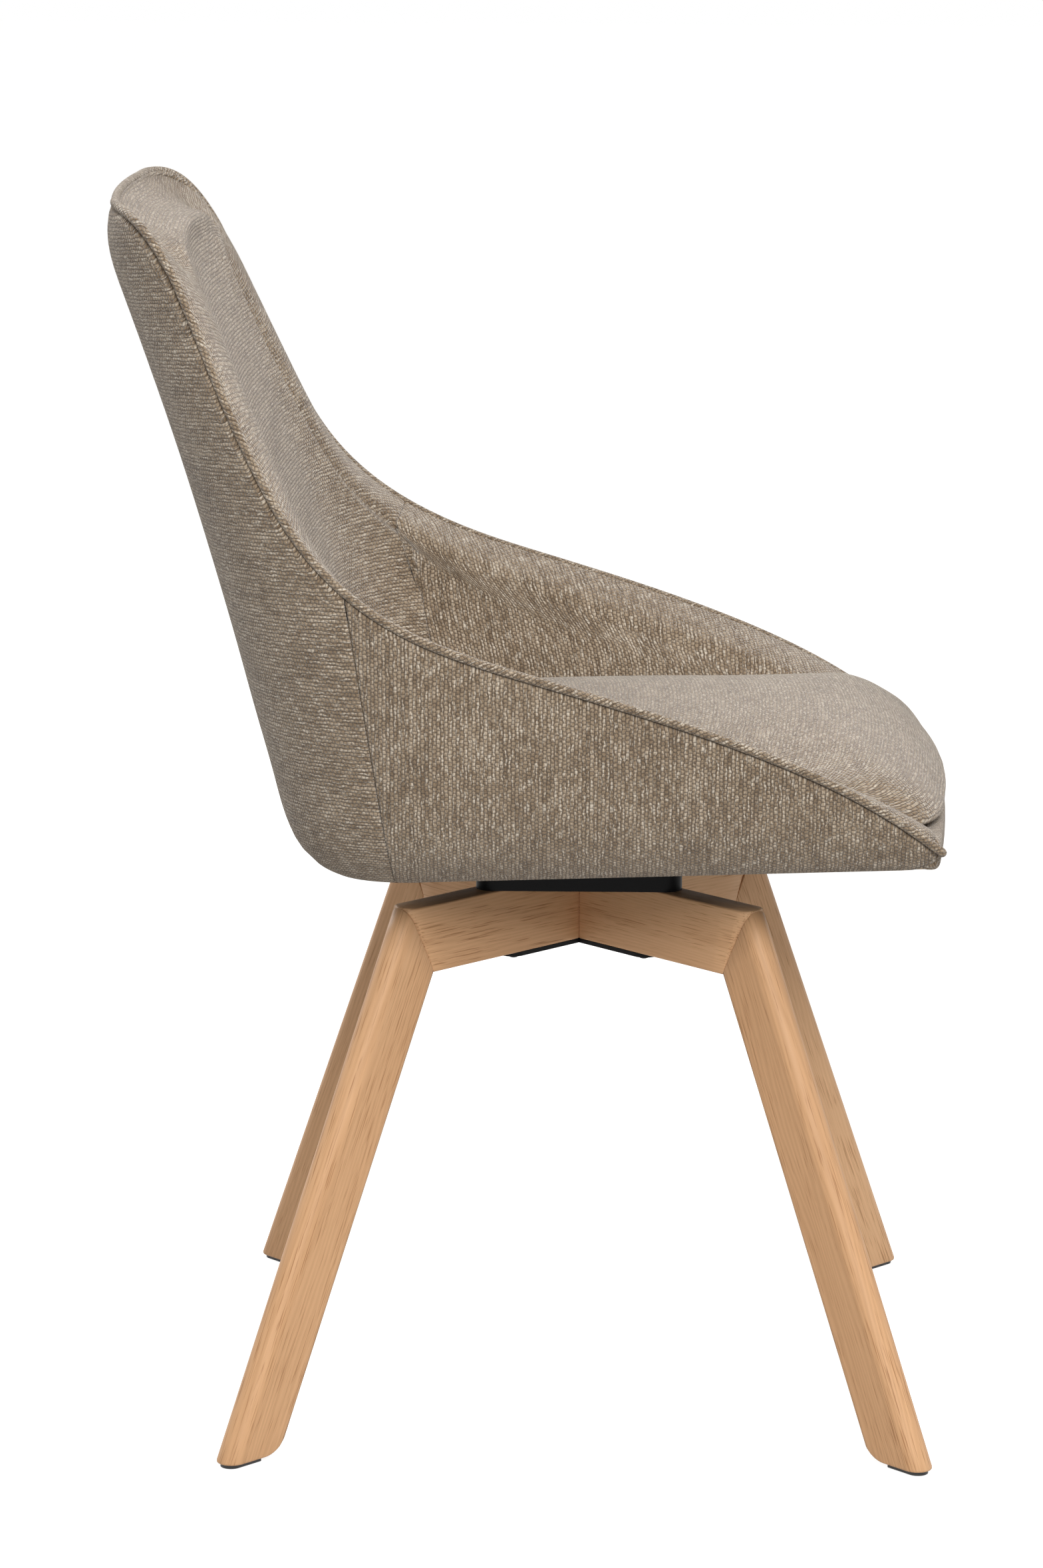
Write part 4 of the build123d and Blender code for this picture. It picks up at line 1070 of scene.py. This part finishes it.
# ---------------------------------------------------------------------------------------------------------
# Studio: a pale floor, an even white surround, and four soft lamps, overhead, beside the chair, in front of
# it and behind it. The camera looks at the sitter's right-hand side and a little down.
CAMERA_LENS, FLOOR_SIZE, FLOOR_LEVEL, WORLD_LIGHT, FLOOR_GLOW = 114.81, 30.0, -0.0005, 0.36, 0.86
LAMPS = (("overhead", (-0.5, -0.5, 2.7), (0, 0, 0.4), 2.4, 24.0),
         ("beside", (-3.0, -0.4, 2.3), (0, 0, 0.3), 1.4, 88.0),
         ("in_front", (-0.6, -3.0, 1.6), (0, 0, 0.5), 1.6, 6.0),
         ("behind", (2.6, 2.4, 1.9), (0, 0, 0.45), 1.4, 62.0))  # name, place, aim, size in m, power in W


def seen_plainly(add, math_of):
    """1 for a ray from the camera, a mirror or a clear body, else 0."""
    rays = add("LightPath").outputs
    seen = rays["Is Camera Ray"]
    for kind in ("Is Glossy Ray", "Is Transmission Ray"):
        seen = math_of("MAXIMUM", seen, rays[kind])
    return seen


def surround():
    """The world: plain white where it is seen plainly, and a dimmer warm white that lights the object."""
    world = bpy.data.worlds.new("studio")
    add, math_of = node_tools(world)
    light = add("Background", {0: (1.0, 0.985, 0.96, 1), 1: WORLD_LIGHT}).outputs[0]
    white = add("Background", {0: (1, 1, 1, 1), 1: 1.0}).outputs[0]
    blend = add("MixShader", {0: seen_plainly(add, math_of), 1: light, 2: white}).outputs[0]
    add("OutputWorld", {0: blend})
    return world


def floor_material():
    """A pale matt floor, lifted to white by a glow where it is seen plainly; the shadow stays on it."""
    material, add, math_of = new_material("studio_floor")
    glow = add("Emission", {0: (1, 1, 1, 1), 1: math_of("MULTIPLY", seen_plainly(add, math_of), FLOOR_GLOW)})
    matt = add("BsdfDiffuse", {0: (0.42, 0.415, 0.405, 1)})
    add("OutputMaterial", {0: add("AddShader", {0: glow.outputs[0], 1: matt.outputs[0]}).outputs[0]})
    return material


scene = bpy.context.scene
scene.world = surround()
half = FLOOR_SIZE / 2
ground = bpy.data.meshes.new("floor")
ground.from_pydata([(-half, -half, FLOOR_LEVEL), (half, -half, FLOOR_LEVEL), (half, half, FLOOR_LEVEL),
                    (-half, half, FLOOR_LEVEL)], [], [(0, 1, 2, 3)])
ground.materials.append(floor_material())
floor = bpy.data.objects.new("floor", ground)
scene.collection.objects.link(floor)
for name, place, aim, size, power in LAMPS:
    lamp = bpy.data.lights.new(name, "AREA")
    lamp.energy, lamp.size, lamp.color = power, size, (1.0, 0.985, 0.965)
    stand = bpy.data.objects.new(name, lamp)
    stand.location = place
    stand.rotation_euler = (Vector(aim) - Vector(place)).to_track_quat("-Z", "Y").to_euler()
    scene.collection.objects.link(stand)

camera_data = bpy.data.cameras.new("camera")
camera_data.lens, camera_data.sensor_width, camera_data.clip_end = CAMERA_LENS, 36.0, 60.0
camera = bpy.data.objects.new("camera", camera_data)
camera.matrix_world = Matrix(((0.0176, 0.21305, -0.97688, -3.464), (-0.99984, 0.00779, -0.01632, -0.0163),
                              (0.00413, 0.97701, 0.21316, 1.1822), (0, 0, 0, 1)))
scene.collection.objects.link(camera)
scene.camera = camera
scene.view_settings.view_transform = "Standard"
